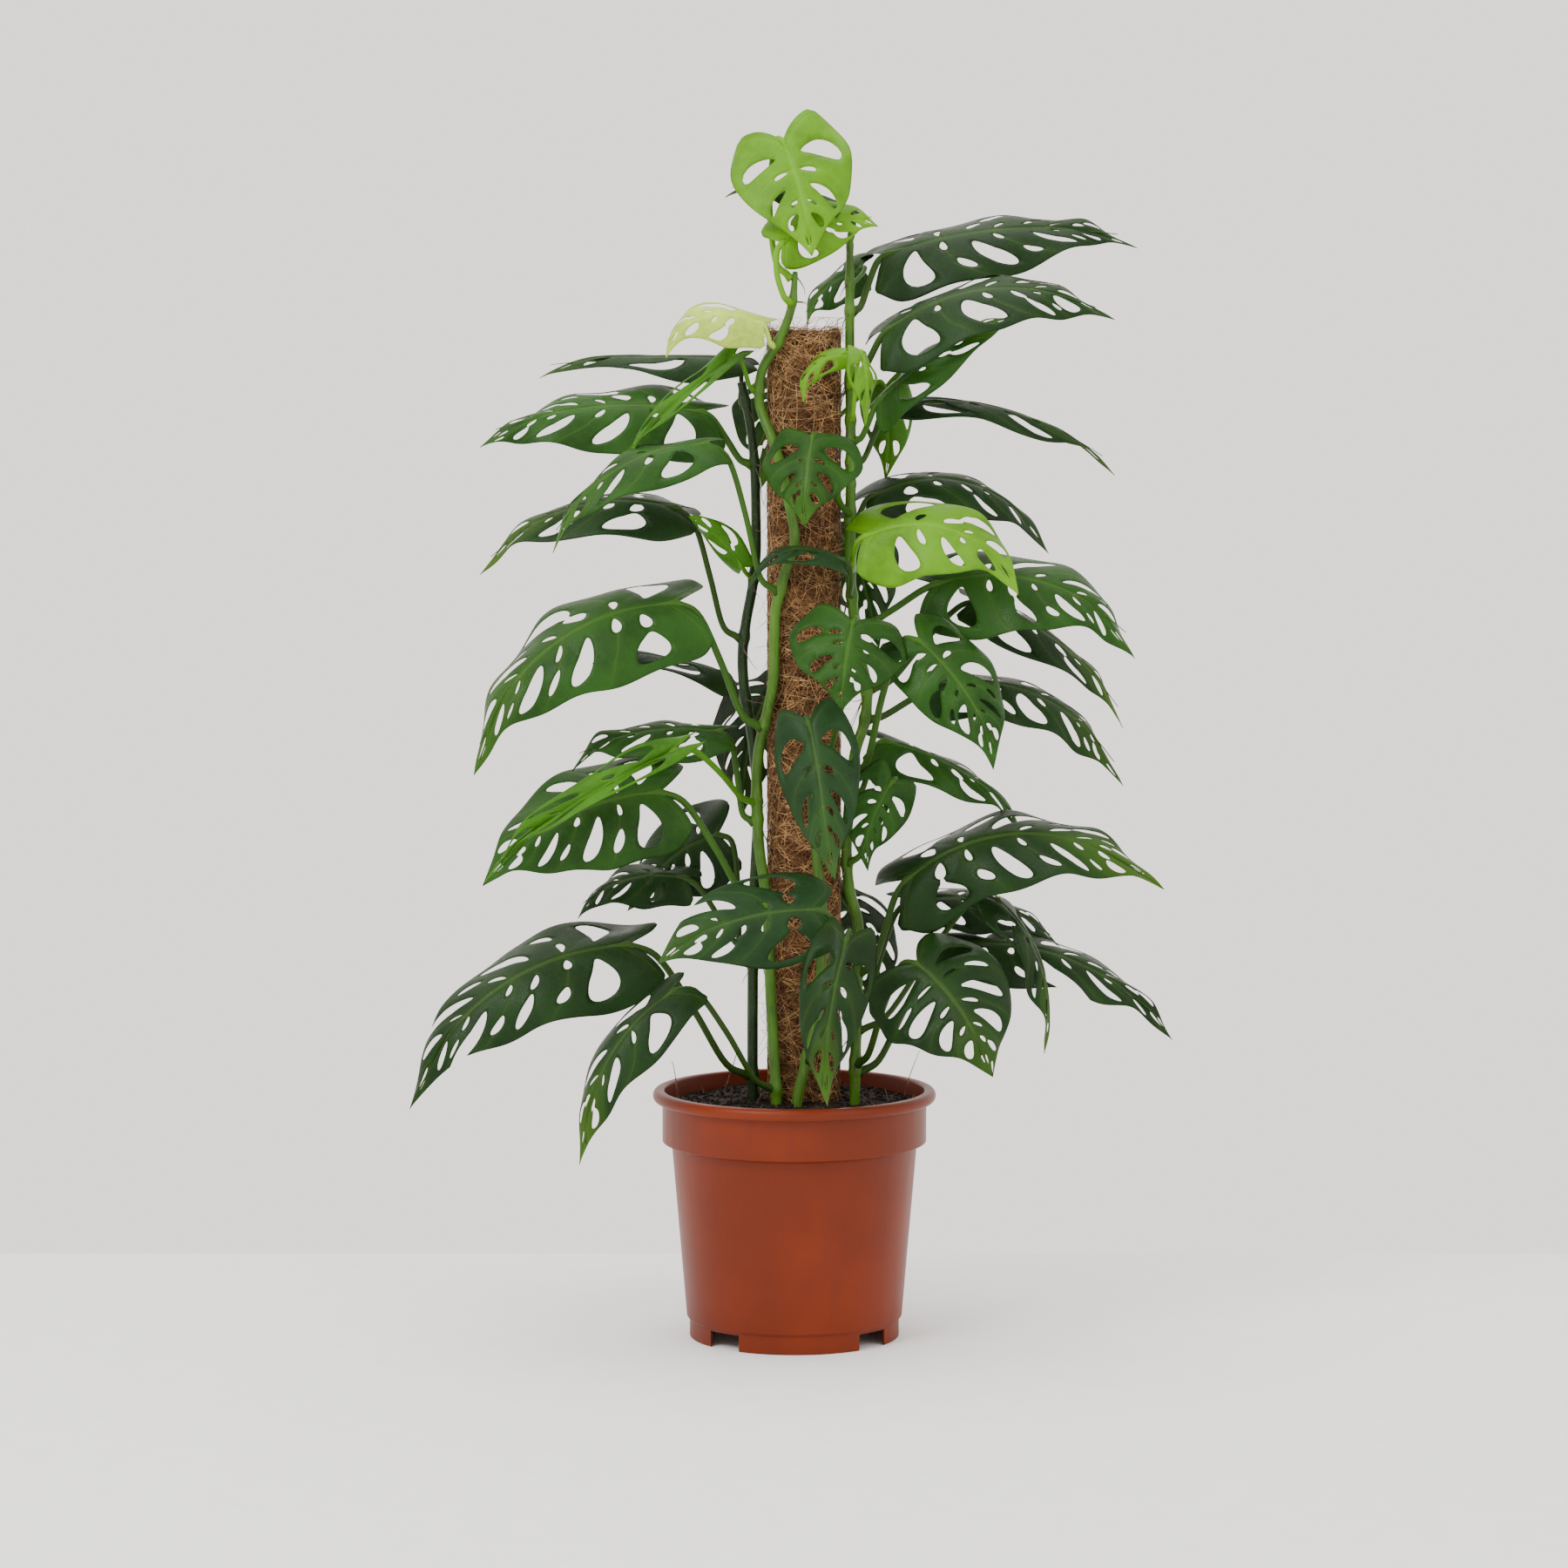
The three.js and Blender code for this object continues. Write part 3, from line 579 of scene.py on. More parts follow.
class Line:
    """A smooth line through points at given knots."""

    def __init__(self, points, knots=None):
        self.points = points
        self.knots = knots or list(range(len(points)))
        last = len(points) - 1
        self.slopes = []
        for index in range(len(points)):
            low, high = max(index - 1, 0), min(index + 1, last)
            run = self.knots[high] - self.knots[low]
            self.slopes.append((points[high] - points[low]) / run)

    def at(self, knot):
        """The point at a knot, on a cubic between the given points beside it."""
        index = 0
        while index < len(self.knots) - 2 and knot > self.knots[index + 1]:
            index += 1
        run = self.knots[index + 1] - self.knots[index]
        t = (knot - self.knots[index]) / run
        start, end = self.points[index], self.points[index + 1]
        bend_in, bend_out = self.slopes[index] * run, self.slopes[index + 1] * run
        return (
            start * (2 * t**3 - 3 * t**2 + 1)
            + bend_in * (t**3 - 2 * t**2 + t)
            + end * (3 * t**2 - 2 * t**3)
            + bend_out * (t**3 - t**2)
        )


# ---------------------------------------------------------------- reading the CAD solids
def slot_of(node):
    """The material slot that the record gives a node."""
    return next(row["material_slot"] for row in frame["record"]["subparts"] if row["node"] == node)


def nodes_named(start):
    """The CAD nodes whose names begin so, in order."""
    return sorted(name for name in frame["nodes"] if name.startswith(start))


def welded(node):
    """A merged copy of a CAD node, whose own mesh is left alone."""
    bm = bmesh.new()
    bm.from_mesh(frame["nodes"][node].data)
    bmesh.ops.remove_doubles(bm, verts=bm.verts, dist=WELD)
    bm.verts.index_update()
    return bm


def neighbours(vertex):
    """The corners joined to this one by an edge."""
    return {edge.other_vert(vertex) for edge in vertex.link_edges}


def layers(start):
    """The corners met one edge further away from start at each step, in order."""
    found = [set(start)]
    seen = set(start)
    while found[-1]:
        step = {other for vertex in found[-1] for other in neighbours(vertex)} - seen
        seen |= step
        found.append(step)
    return [sorted(ring, key=lambda vertex: vertex.index) for ring in found[:-1]]


def middle(vertices):
    """The mean place of some corners."""
    return sum((vertex.co for vertex in vertices), Vector()) / len(vertices)


def tube_line(node, sides):
    """Centre points of a CAD tube from its lowest end up, and its radius."""
    bm = welded(node)
    foot = sorted(bm.verts, key=lambda vertex: vertex.co.z)[:sides]
    rings = layers(foot)
    centres = [middle(ring) for ring in rings]
    radius = sum((vertex.co - centres[0]).length for vertex in foot) / sides
    bm.free()
    return centres, radius


class LeafPlan:
    """A CAD leaf's midrib, margins and stalk, read from how its corners join up."""

    def __init__(self, node):
        bm = welded(node)
        self.rows = (len(bm.verts) - STALK_CORNERS - 1) // ROW_CORNERS
        self.bays = (self.rows - 1) // 2
        apex = max(bm.verts, key=lambda vertex: len(vertex.link_edges))
        top, low = self.midrib(apex)
        stalk = layers(layers([apex])[-1])[:5]
        margin = self.margin(bm, {apex, *top, *low, *(v for ring in stalk for v in ring)})
        self.tip = apex.co.copy()
        self.stalk = [middle(ring) for ring in stalk]
        self.stalk_radii = [
            sum((vertex.co - centre).length for vertex in ring) / len(ring)
            for ring, centre in zip(stalk, self.stalk)
        ]
        self.normals = [(a.co - b.co).normalized() for a, b in zip(top, low)]
        self.rib = [a.co - n * BLADE_THICKNESS / 2 for a, n in zip(top, self.normals)]
        self.rib[0] = self.stalk[-1]
        self.edges = {-1: [], 1: []}
        self.torn = {}
        spine = [*self.rib, self.tip]

        def sided(vertex):
            near = min(range(self.rows), key=lambda row: (vertex.co - self.rib[row]).length)
            way = (spine[near + 1] - spine[max(near - 1, 0)]).cross(self.normals[near])
            return 1 if (vertex.co - self.rib[near]).dot(way) > 0 else -1

        along = (self.tip - self.rib[0]).normalized()
        margin.sort(key=lambda vertex: (vertex.co - self.rib[0]).dot(along))
        for sign in (-1, 1):
            left = [vertex for vertex in margin if sided(vertex) == sign]
            own = [left.pop()]
            while left:
                joined = [vertex for vertex in left if vertex in neighbours(own[-1])]
                own.append(joined[0] if joined else left[-1])
                left.remove(own[-1])
            own.reverse()
            self.edges[sign] = [vertex.co.copy() for vertex in own]
            self.torn[sign] = {
                bay for bay in range(self.bays)
                if own[2 * bay + 2] not in neighbours(own[2 * bay + 1])
            }
        bm.free()

    def midrib(self, apex):
        """Upper and lower midrib corners, each from the stalk to the tip."""
        joined = {}
        for face in apex.link_faces:
            one, other = (vertex for vertex in face.verts if vertex is not apex)
            joined.setdefault(one, []).append(other)
            joined.setdefault(other, []).append(one)
        loop = [next(iter(joined))]
        while len(loop) < ROW_CORNERS:
            before = loop[-2] if len(loop) > 1 else None
            loop.append(next(vertex for vertex in joined[loop[-1]] if vertex is not before))
        folds = [
            next(edge for edge in vertex.link_edges if apex in edge.verts).calc_face_angle(0)
            for vertex in loop
        ]
        half = ROW_CORNERS // 2
        start = max(range(half), key=lambda index: folds[index] + folds[index + half])
        loop = loop[start:] + loop[:start]
        ribs = (half // 2, half + half // 2)

        def rib_pair(turn):
            pair = [self.chain(apex, loop, rib, turn * way, 2) for rib, way in zip(ribs, (1, -1))]
            return (pair[0][1].co - pair[1][1].co).length

        turn = max((1, -1), key=rib_pair)
        side = loop[ribs[0] + turn].co - loop[ribs[0] - turn].co
        lines = [
            self.chain(apex, loop, rib, turn * way, self.rows) for rib, way in zip(ribs, (1, -1))
        ]
        upwards = side.cross(apex.co - lines[0][1].co)
        if (lines[0][0].co - lines[1][0].co).dot(upwards) < 0:
            lines.reverse()
        return lines[0][::-1], lines[1][::-1]

    @staticmethod
    def chain(apex, loop, rib, turn, count):
        """Follows the midrib from the last row towards the stalk."""
        line = [loop[rib]]
        beside = loop[rib + turn]
        seen = {apex, *loop}
        while len(line) < count:
            if len(line) > 1:
                found = (neighbours(beside) & neighbours(line[-1])) - seen
                beside = min(found, key=lambda vertex: vertex.index)
            seen |= {beside, line[-1]}
            found = (neighbours(line[-1]) & neighbours(beside)) - seen
            if len(found) != 1 and count == 2:
                return [line[-1], line[-1]]
            line.append(min(found, key=lambda vertex: vertex.index))
        return line

    @staticmethod
    def margin(bm, known):
        """The corners with no partner on the blade's other face."""
        bm.verts.index_update()
        corners = list(bm.verts)
        tree = kdtree.KDTree(len(corners))
        for vertex in corners:
            tree.insert(vertex.co, vertex.index)
        tree.balance()
        slack = WELD * 3
        return [
            vertex for vertex in corners
            if vertex not in known and not any(
                abs(gap - BLADE_THICKNESS) < slack for _, _, gap in tree.find_n(vertex.co, 6)
            )
        ]


# ---------------------------------------------------------------- leaves
def eased(value, low, high):
    """0 below low, 1 above high, and a smooth way between."""
    share = min(1.0, max(0.0, (value - low) / (high - low)))
    return share * share * (3 - 2 * share)


class Blade:
    """The surface of one leaf. across is -1 to 1 between its margins, along runs row by row."""

    LOBE_ROUNDNESS = 2.2
    LOBE_ROWS = 0.95
    CROWN = 0.2
    MARGIN_FALL = 0.07
    GROOVE_WIDTH = 0.0022
    FULL_RELIEF = 0.02
    WAVES_PER_ROW = 2.6
    DRIFT = 0.009
    DRIFT_SCALE = 17
    HOOK_START = 0.78

    def __init__(self, plan, look, seed):
        self.look = look
        self.seed = seed
        knots = [0.0]
        for row in range(1, plan.rows + 1):
            knots.append(knots[-1] + (BAR if row % 2 else OPENING))
        self.end = knots[-1]
        self.rib = Line([*plan.rib, plan.tip], knots)
        self.normal = Line([*plan.normals, plan.normals[-1]], knots)
        self.edges = {sign: Line([*plan.edges[sign], plan.tip], knots) for sign in (-1, 1)}
        self.reach = max(
            (edge - rib).length for sign in (-1, 1) for edge, rib in zip(plan.edges[sign], plan.rib)
        )
        self.span = sum((a - b).length for a, b in zip(self.rib.points, self.rib.points[1:]))
        self.hook = random.Random(seed).uniform(-1, 1)

    def swept(self, share, along):
        """Leans the side veins towards the tip, and rounds the lobe beside the stalk."""
        corner = 1 - (1 - share**self.LOBE_ROUNDNESS) ** (1 / self.LOBE_ROUNDNESS)
        lobe = self.LOBE_ROWS * corner * max(0.0, 1 - along / 2) ** 2
        easing = eased(along, 0, 1.8) * (1 - eased(along, self.end - 4, self.end))
        return min(self.end, along + lobe + self.look.lean * share**1.2 * easing)

    def frame(self, along, sign):
        """The midrib point, the blade's normal there and the way to the margin."""
        rib = self.rib.at(along)
        narrowing = 1 - self.look.narrowing * eased(along / self.end, 0.68, 0.97)
        side = (self.edges[sign].at(along) - rib) * narrowing
        return rib, self.normal.at(along).normalized(), side

    def point(self, across, along):
        """The place of a grid corner on the bent, quilted and waved blade."""
        sign = 1 if across >= 0 else -1
        share = abs(across)
        along = self.swept(share, along)
        rib, normal, side = self.frame(along, sign)
        reach = side.length
        spot = rib + side * share
        bulge = (self.CROWN * share * (1 - share) - self.MARGIN_FALL * share**2) * reach
        between = abs(math.sin(math.pi * (along - BAR / 2) / PERIOD))
        quilt = self.look.quilt * between**0.7 * math.sqrt(max(0.0, 4 * share * (1 - share)))
        groove = self.look.groove * math.exp(-((share * reach / self.GROOVE_WIDTH) ** 2))
        taper = min(1.0, reach / self.FULL_RELIEF)
        phase = along * self.WAVES_PER_ROW + self.seed * 7 + sign
        wave = self.look.wave * share**2 * math.sin(phase)
        rolling = noise.noise(spot * self.DRIFT_SCALE + Vector((self.seed, 0, 0)))
        drift = rolling * self.DRIFT * share
        past = max(0.0, along / self.end - self.HOOK_START) / (1 - self.HOOK_START)
        sideways = normal.cross(self.rib.at(self.end) - self.rib.at(self.end - 1)).normalized()
        hook = (sideways * self.hook * 0.8 - UP * 0.8 - normal * 0.3) * self.look.hook * past**2
        return spot + normal * (bulge + (quilt - groove + wave + drift) * taper) + hook


# How far a stalk starts inside its stem, and the steps of a stalk and of the rib that it becomes.
STALK_INSET = 0.0045
STALK_STEPS = 22
RIB_STEPS = 30

# How often a bay has two openings in place of one, and a bar a small one near the margin.
SPLIT_SHARE = 0.3
OUTER_SLIT_SHARE = 0.45


def blade_openings(plan, rng):
    """Openings of a blade as (across, along, half width across, half length along).

    Each bay has an open margin, two openings or one. The bar after it may have a slit beside
    the midrib and another near the margin.
    """
    found = []
    openness = rng.uniform(0.8, 1.2)
    for bay in range(plan.bays):
        centre = bay * PERIOD + BAR + OPENING / 2
        for sign in (-1, 1):
            middle_along = centre + rng.uniform(-0.08, 0.08)
            half = min(0.56, rng.uniform(0.26, 0.46) * openness * (0.8 if bay == 0 else 1))
            if bay in plan.torn[sign]:
                found.append((sign * 0.78, centre, 0.5, 0.5))
            elif rng.random() < SPLIT_SHARE:
                found.append((sign * 0.67, middle_along, rng.uniform(0.2, 0.24), half))
                found.append((sign * 0.28, middle_along, rng.uniform(0.11, 0.14), half * 0.6))
            else:
                found.append((sign * 0.54, middle_along, rng.uniform(0.29, 0.33), half))
            if plan.bays > 2 or rng.random() < 0.5:
                slit = rng.uniform(0.07, 0.15)
                along = centre + PERIOD / 2 + rng.uniform(-0.12, 0.12)
                found.append((sign * (0.1 + slit), along, slit, rng.uniform(0.09, 0.16)))
            if plan.bays > 3 and rng.random() < OUTER_SLIT_SHARE:
                along = centre + PERIOD / 2 + rng.uniform(-0.1, 0.1)
                found.append((sign * 0.66, along, rng.uniform(0.1, 0.16), rng.uniform(0.12, 0.2)))
    return found


def open_blade(bm, openings):
    """Removes the faces inside each opening, and rounds its rim."""
    for centre_x, centre_y, half_x, half_y in openings:
        outwards = 1 if centre_x > 0 else -1

        def reach(vertex):
            x = (vertex.co.x - centre_x) / half_x
            y = (vertex.co.y - centre_y) / half_y / max(0.3, 1 + 0.3 * x * outwards)
            return math.sqrt(abs(x) ** 1.75 + y * y)

        inside = [vertex for vertex in bm.verts if reach(vertex) < 1]
        if not inside:
            inside = [min(bm.verts, key=reach)]
        gone = set(inside)
        rim = {v for vertex in inside for face in vertex.link_faces for v in face.verts} - gone
        for vertex in rim:
            for _ in range(2 if abs(vertex.co.x) < 1 else 0):
                scale = reach(vertex)
                vertex.co.x = centre_x + (vertex.co.x - centre_x) / scale
                vertex.co.y = centre_y + (vertex.co.y - centre_y) / scale
        bmesh.ops.delete(bm, geom=inside, context="VERTS")


def stalk_path(plan, blade):
    """The stalk from inside the stem to the joint, and on under the blade to the tip."""
    inwards = (plan.stalk[0] - plan.stalk[1]).normalized()
    line = Line(plan.stalk)
    radii = [radius * 0.94 for radius in plan.stalk_radii]
    path = [(plan.stalk[0] + inwards * STALK_INSET, radii[0] * 1.15)]
    for step in range(STALK_STEPS + 1):
        knot = (len(plan.stalk) - 1) * step / STALK_STEPS
        low = min(int(knot), len(radii) - 2)
        radius = radii[low] + (radii[low + 1] - radii[low]) * (knot - low)
        swelling = 1 + 0.16 * math.exp(-(((STALK_STEPS - step) / 2.2) ** 2))
        path.append((line.at(knot), radius * swelling))
    for step in range(1, RIB_STEPS):
        share = step / RIB_STEPS
        rib, normal, _ = blade.frame(blade.end * share, 1)
        radius = radii[-1] * (0.72 * (1 - share) ** 0.8 + 0.08)
        sunk = blade.look.groove + blade.look.thickness + radius * 0.45
        ease = min(1.0, step / 3)
        path.append((rib - normal * sunk * ease, radius))
    return path


def leaf_mesh(node, plan, look, tint_share):
    """A leaf's opened blade, given its thickness, with its stalk. tint_share is its fresh tip's."""
    rng = random.Random(node)
    blade = Blade(plan, look, rng.uniform(0, 10))
    bm = bmesh.new()
    columns = 2 * max(6, round(blade.reach / look.cell))
    rows = max(16, round(blade.span * 1.15 / look.cell))
    bmesh.ops.create_grid(bm, x_segments=columns, y_segments=rows, size=1)
    for vertex in bm.verts:
        vertex.co.y = (vertex.co.y + 1) / 2 * blade.end
    open_blade(bm, blade_openings(plan, rng))
    layer = bm.verts.layers.float_vector.new("blade")
    for vertex in bm.verts:
        across, along = vertex.co.x, vertex.co.y
        fresh = tint_share * max(0.0, along / blade.end - 0.55) * 2
        vertex[layer] = (across, along, min(1.0, fresh))
        vertex.co = blade.point(across, along)
    bmesh.ops.remove_doubles(bm, verts=bm.verts, dist=WELD / 2)

    def thicken(holder):
        holder.data.materials.append(None)
        holder.data.materials.append(None)
        solid = holder.modifiers.new("thickness", "SOLIDIFY")
        solid.thickness = look.thickness
        solid.offset = -1
        solid.material_offset = 1

    blade_solid = applied(mesh_from(bm, "blade"), thicken)
    stalk = tubes([stalk_path(plan, blade)], 3)
    for polygon in stalk.polygons:
        polygon.material_index = 2
    bm = bmesh.new()
    bm.from_mesh(blade_solid)
    bm.from_mesh(stalk)
    return mesh_from(bm, node)


# ---------------------------------------------------------------- operators
def settings():
    """The plant's settings in this scene."""
    return bpy.context.scene.monstera


class MONSTERA_OT_leaves(bpy.types.Operator):
    """Grows every leaf with its stalk: veined blade, openings and midrib"""

    bl_idname = "monstera.leaves"
    bl_label = "Leaves"

    def execute(self, context):
        look = settings().leaves
        stems = settings().stems
        finishes = {}
        for tone in ("dark", "green", "blue", "fresh", "lime", "pale"):
            tint = tuple(getattr(look, tone))
            stalk = blended(tuple(stems.light), tint, 0.5)
            finishes[tone] = [
                leaf_finish(f"leaf_{tone}_top", tint, False),
                leaf_finish(f"leaf_{tone}_underside", tint, True),
                stem_finish(f"stalk_{tone}", stalk),
            ]
        for node in nodes_named("leaf_"):
            slot = slot_of(node)
            usual = {"leaf_dark": "dark", "leaf_green": "green", "leaf_young": "fresh"}[slot]
            tone = TONES.get(node.removeprefix("leaf_"), usual)
            share = random.Random(node + "tip").choice((0, 0, 0.25, 0.6))
            mesh = leaf_mesh(node, LeafPlan(node), look, share)
            piece(f"{node}_blade", mesh, finishes[tone], [node])
        return {"FINISHED"}


class MONSTERA_OT_stems(bpy.types.Operator):
    """Grows the climbing stems with a node where each leaf leaves them, and the aerial roots"""

    bl_idname = "monstera.stems"
    bl_label = "Stems"

    STEM_SIDES = 8
    ROOT_SIDES = 6
    NODE_LENGTH = 0.0045
    ROOT_RADIUS = 0.0007

    def execute(self, context):
        noise.seed_set(SEED)
        look = settings().stems
        finishes = {
            "stem_light": stem_finish("stem_light", tuple(look.light)),
            "stem_dark": stem_finish("stem_dark", tuple(look.dark)),
        }
        feet = [LeafPlan(node).stalk[0] for node in frame["nodes"] if node.startswith("leaf_")]
        rng = random.Random("roots")
        pole_low, pole_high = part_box("pole_sleeve")
        pole = (pole_low + pole_high) / 2
        roots = []
        for node in nodes_named("vine_"):
            slot = slot_of(node)
            path, joints = self.stem(node, feet, look.node_swelling, slot == "stem_light")
            piece(f"{node}_stem", tubes([path], 4), [finishes[slot]], [node])
            for joint in joints:
                for _ in range(rng.choice((1, 2, 2, 3))):
                    roots.append(self.rootlet(joint, pole, rng))
        finish = root_finish("aerial_root", tuple(look.root))
        mesh = tubes([self.long_root(), *roots], 1)
        piece("aerial_roots", mesh, [finish], ["aerial_root"])
        return {"FINISHED"}

    def stem(self, node, feet, swelling, young):
        """A stem's path of (point, radius), and the points where leaves leave it."""
        centres, radius = tube_line(node, self.STEM_SIDES)
        line = Line(centres)
        last = len(centres) - 1
        steps = last * 10
        points = [line.at(last * step / steps) for step in range(steps + 1)]
        heights = []
        for foot in feet:
            nearest = min(points, key=lambda point: (point - foot).length)
            if (nearest - foot).length < radius * 2:
                heights.append(nearest.z)
        growing_tip = 0.45 if young else 0
        path = []
        for point in points:
            share = (point.z - points[0].z) / (points[-1].z - points[0].z)
            bulge = sum(math.exp(-(((point.z - z) / self.NODE_LENGTH) ** 2)) for z in heights)
            taper = 1.0 - 0.2 * share**3 - growing_tip * share**40
            path.append((point, radius * taper * (1 + swelling * min(1, bulge))))
        return path, [min(points, key=lambda point: abs(point.z - z)) for z in heights]

    def long_root(self):
        """The long root that hangs from the stems, thinner and thinner downwards."""
        centres, radius = tube_line("aerial_root", self.ROOT_SIDES)
        line = Line(centres[::-1])
        last = len(centres) - 1
        steps = last * 8
        path = []
        for step in range(steps + 1):
            spot = line.at(last * step / steps)
            wiggle = noise.noise_vector(spot * 120) * 0.0012
            path.append((spot + wiggle, radius * (1 - 0.6 * step / steps)))
        return path

    def rootlet(self, start, pole, rng):
        """A short root from a node, which droops and creeps towards the coir."""
        spot = start.copy()
        inwards = Vector((pole.x - start.x, pole.y - start.y, 0)).normalized()
        sideways = inwards.cross(UP) * rng.choice((-1, 1))
        heading = (inwards * 0.25 + sideways + UP * rng.uniform(-0.9, 0.1)).normalized()
        path = []
        steps = 12
        reach = rng.uniform(0.012, 0.05)
        for step in range(steps + 1):
            path.append((spot.copy(), self.ROOT_RADIUS * (1 - 0.75 * step / steps)))
            turn = noise.noise_vector(spot * 90) * 0.9
            heading = (heading + turn * 0.45 + inwards * 0.06 - UP * 0.1).normalized()
            spot = spot + heading * reach / steps
        return path


class MONSTERA_OT_pole(bpy.types.Operator):
    """Wraps the pole in matted coir with loose fibres"""

    bl_idname = "monstera.pole"
    bl_label = "Coir pole"

    CLEARANCE = 0.0003
    WALL_ROWS = 150
    WALL_STEPS = 72
    MAT_SHARE = 0.965

    def execute(self, context):
        look = settings().pole
        low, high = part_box("pole_sleeve")
        centre = (low + high) / 2
        radius = (high.x - low.x) / 2
        mesh = self.sleeve(centre, radius, low.z, high.z)
        finish = mat_finish("coir_mat", tuple(look.dark), tuple(look.middle))
        piece("coir_sleeve", mesh, [finish], ["pole_sleeve"])
        soil_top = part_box("soil")[1].z
        for tone in ("dark", "middle", "light"):
            rng = random.Random("coir" + tone)
            paths = [
                self.fibre(rng, centre, radius, soil_top, high.z, look.thickness, loose)
                for loose in [False] * look.fibres + [True] * look.wisps
            ]
            finish = fibre_finish(f"coir_{tone}", tuple(getattr(look, tone)))
            piece(f"coir_fibres_{tone}", tubes(paths, 0), [finish])
        core = frame["nodes"]["pole_core"]
        core.data.materials.clear()
        core.data.materials.append(wood_finish("pole_wood", tuple(look.wood)))
        return {"FINISHED"}

    @classmethod
    def sleeve(cls, centre, radius, bottom, top):
        """A lumpy tube, its wall made by a spin and pushed in and out."""
        core_low, core_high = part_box("pole_core")
        inner = (core_high.x - core_low.x) / 2 + cls.CLEARANCE
        rows = cls.WALL_ROWS
        side = radius * cls.MAT_SHARE
        outer = [(side, bottom + (top - bottom) * row / rows) for row in range(rows + 1)]
        profile = [(inner, bottom), *outer, (radius * 0.85, top + 0.001), (inner, top)]
        bm = spun(profile, cls.WALL_STEPS, closed=True)
        for vertex in bm.verts:
            out = Vector((vertex.co.x, vertex.co.y, 0))
            if out.length > inner * 1.2:
                lump = noise.noise(vertex.co * 38) * 0.0014 + noise.noise(vertex.co * 160) * 0.0009
                vertex.co += out.normalized() * lump
            if vertex.co.z > top - 0.0005:
                vertex.co.z += noise.noise(vertex.co * 90) * 0.003
            vertex.co += Vector((centre.x, centre.y, 0))
        return mesh_from(bm, "coir_sleeve")

    @staticmethod
    def fibre(rng, centre, radius, bottom, top, thickness, loose):
        """One fibre laid over the pole, or a loose one that leaves it."""
        bearing = rng.uniform(0, 2 * math.pi)
        height = rng.uniform(bottom, top)
        if loose and rng.random() < 0.35:
            height = top - rng.uniform(0, 0.008)
        heading = rng.gauss(0, 0.75) if rng.random() < 0.7 else rng.uniform(-1.6, 1.6)
        curl = rng.gauss(0, 28)
        reach = rng.uniform(0.018, 0.055) * (0.7 if loose else 1)
        lift = rng.uniform(-0.0003, 0.0013)
        leave = rng.uniform(0.003, 0.014) if loose else rng.uniform(0, 0.0012)
        highest = top + (0.012 if loose else rng.uniform(0, 0.005))
        steps = 5
        path = []
        for step in range(steps + 1):
            share = step / steps
            out = radius + lift + leave * share**2.2
            spot = Vector((math.cos(bearing) * out, math.sin(bearing) * out, height))
            path.append((spot + Vector((centre.x, centre.y, 0)), thickness * (1 - 0.5 * share)))
            bearing += math.cos(heading) * reach / steps / radius
            height += math.sin(heading) * reach / steps
            height = min(height, highest)
            heading += curl * reach / steps
        return path


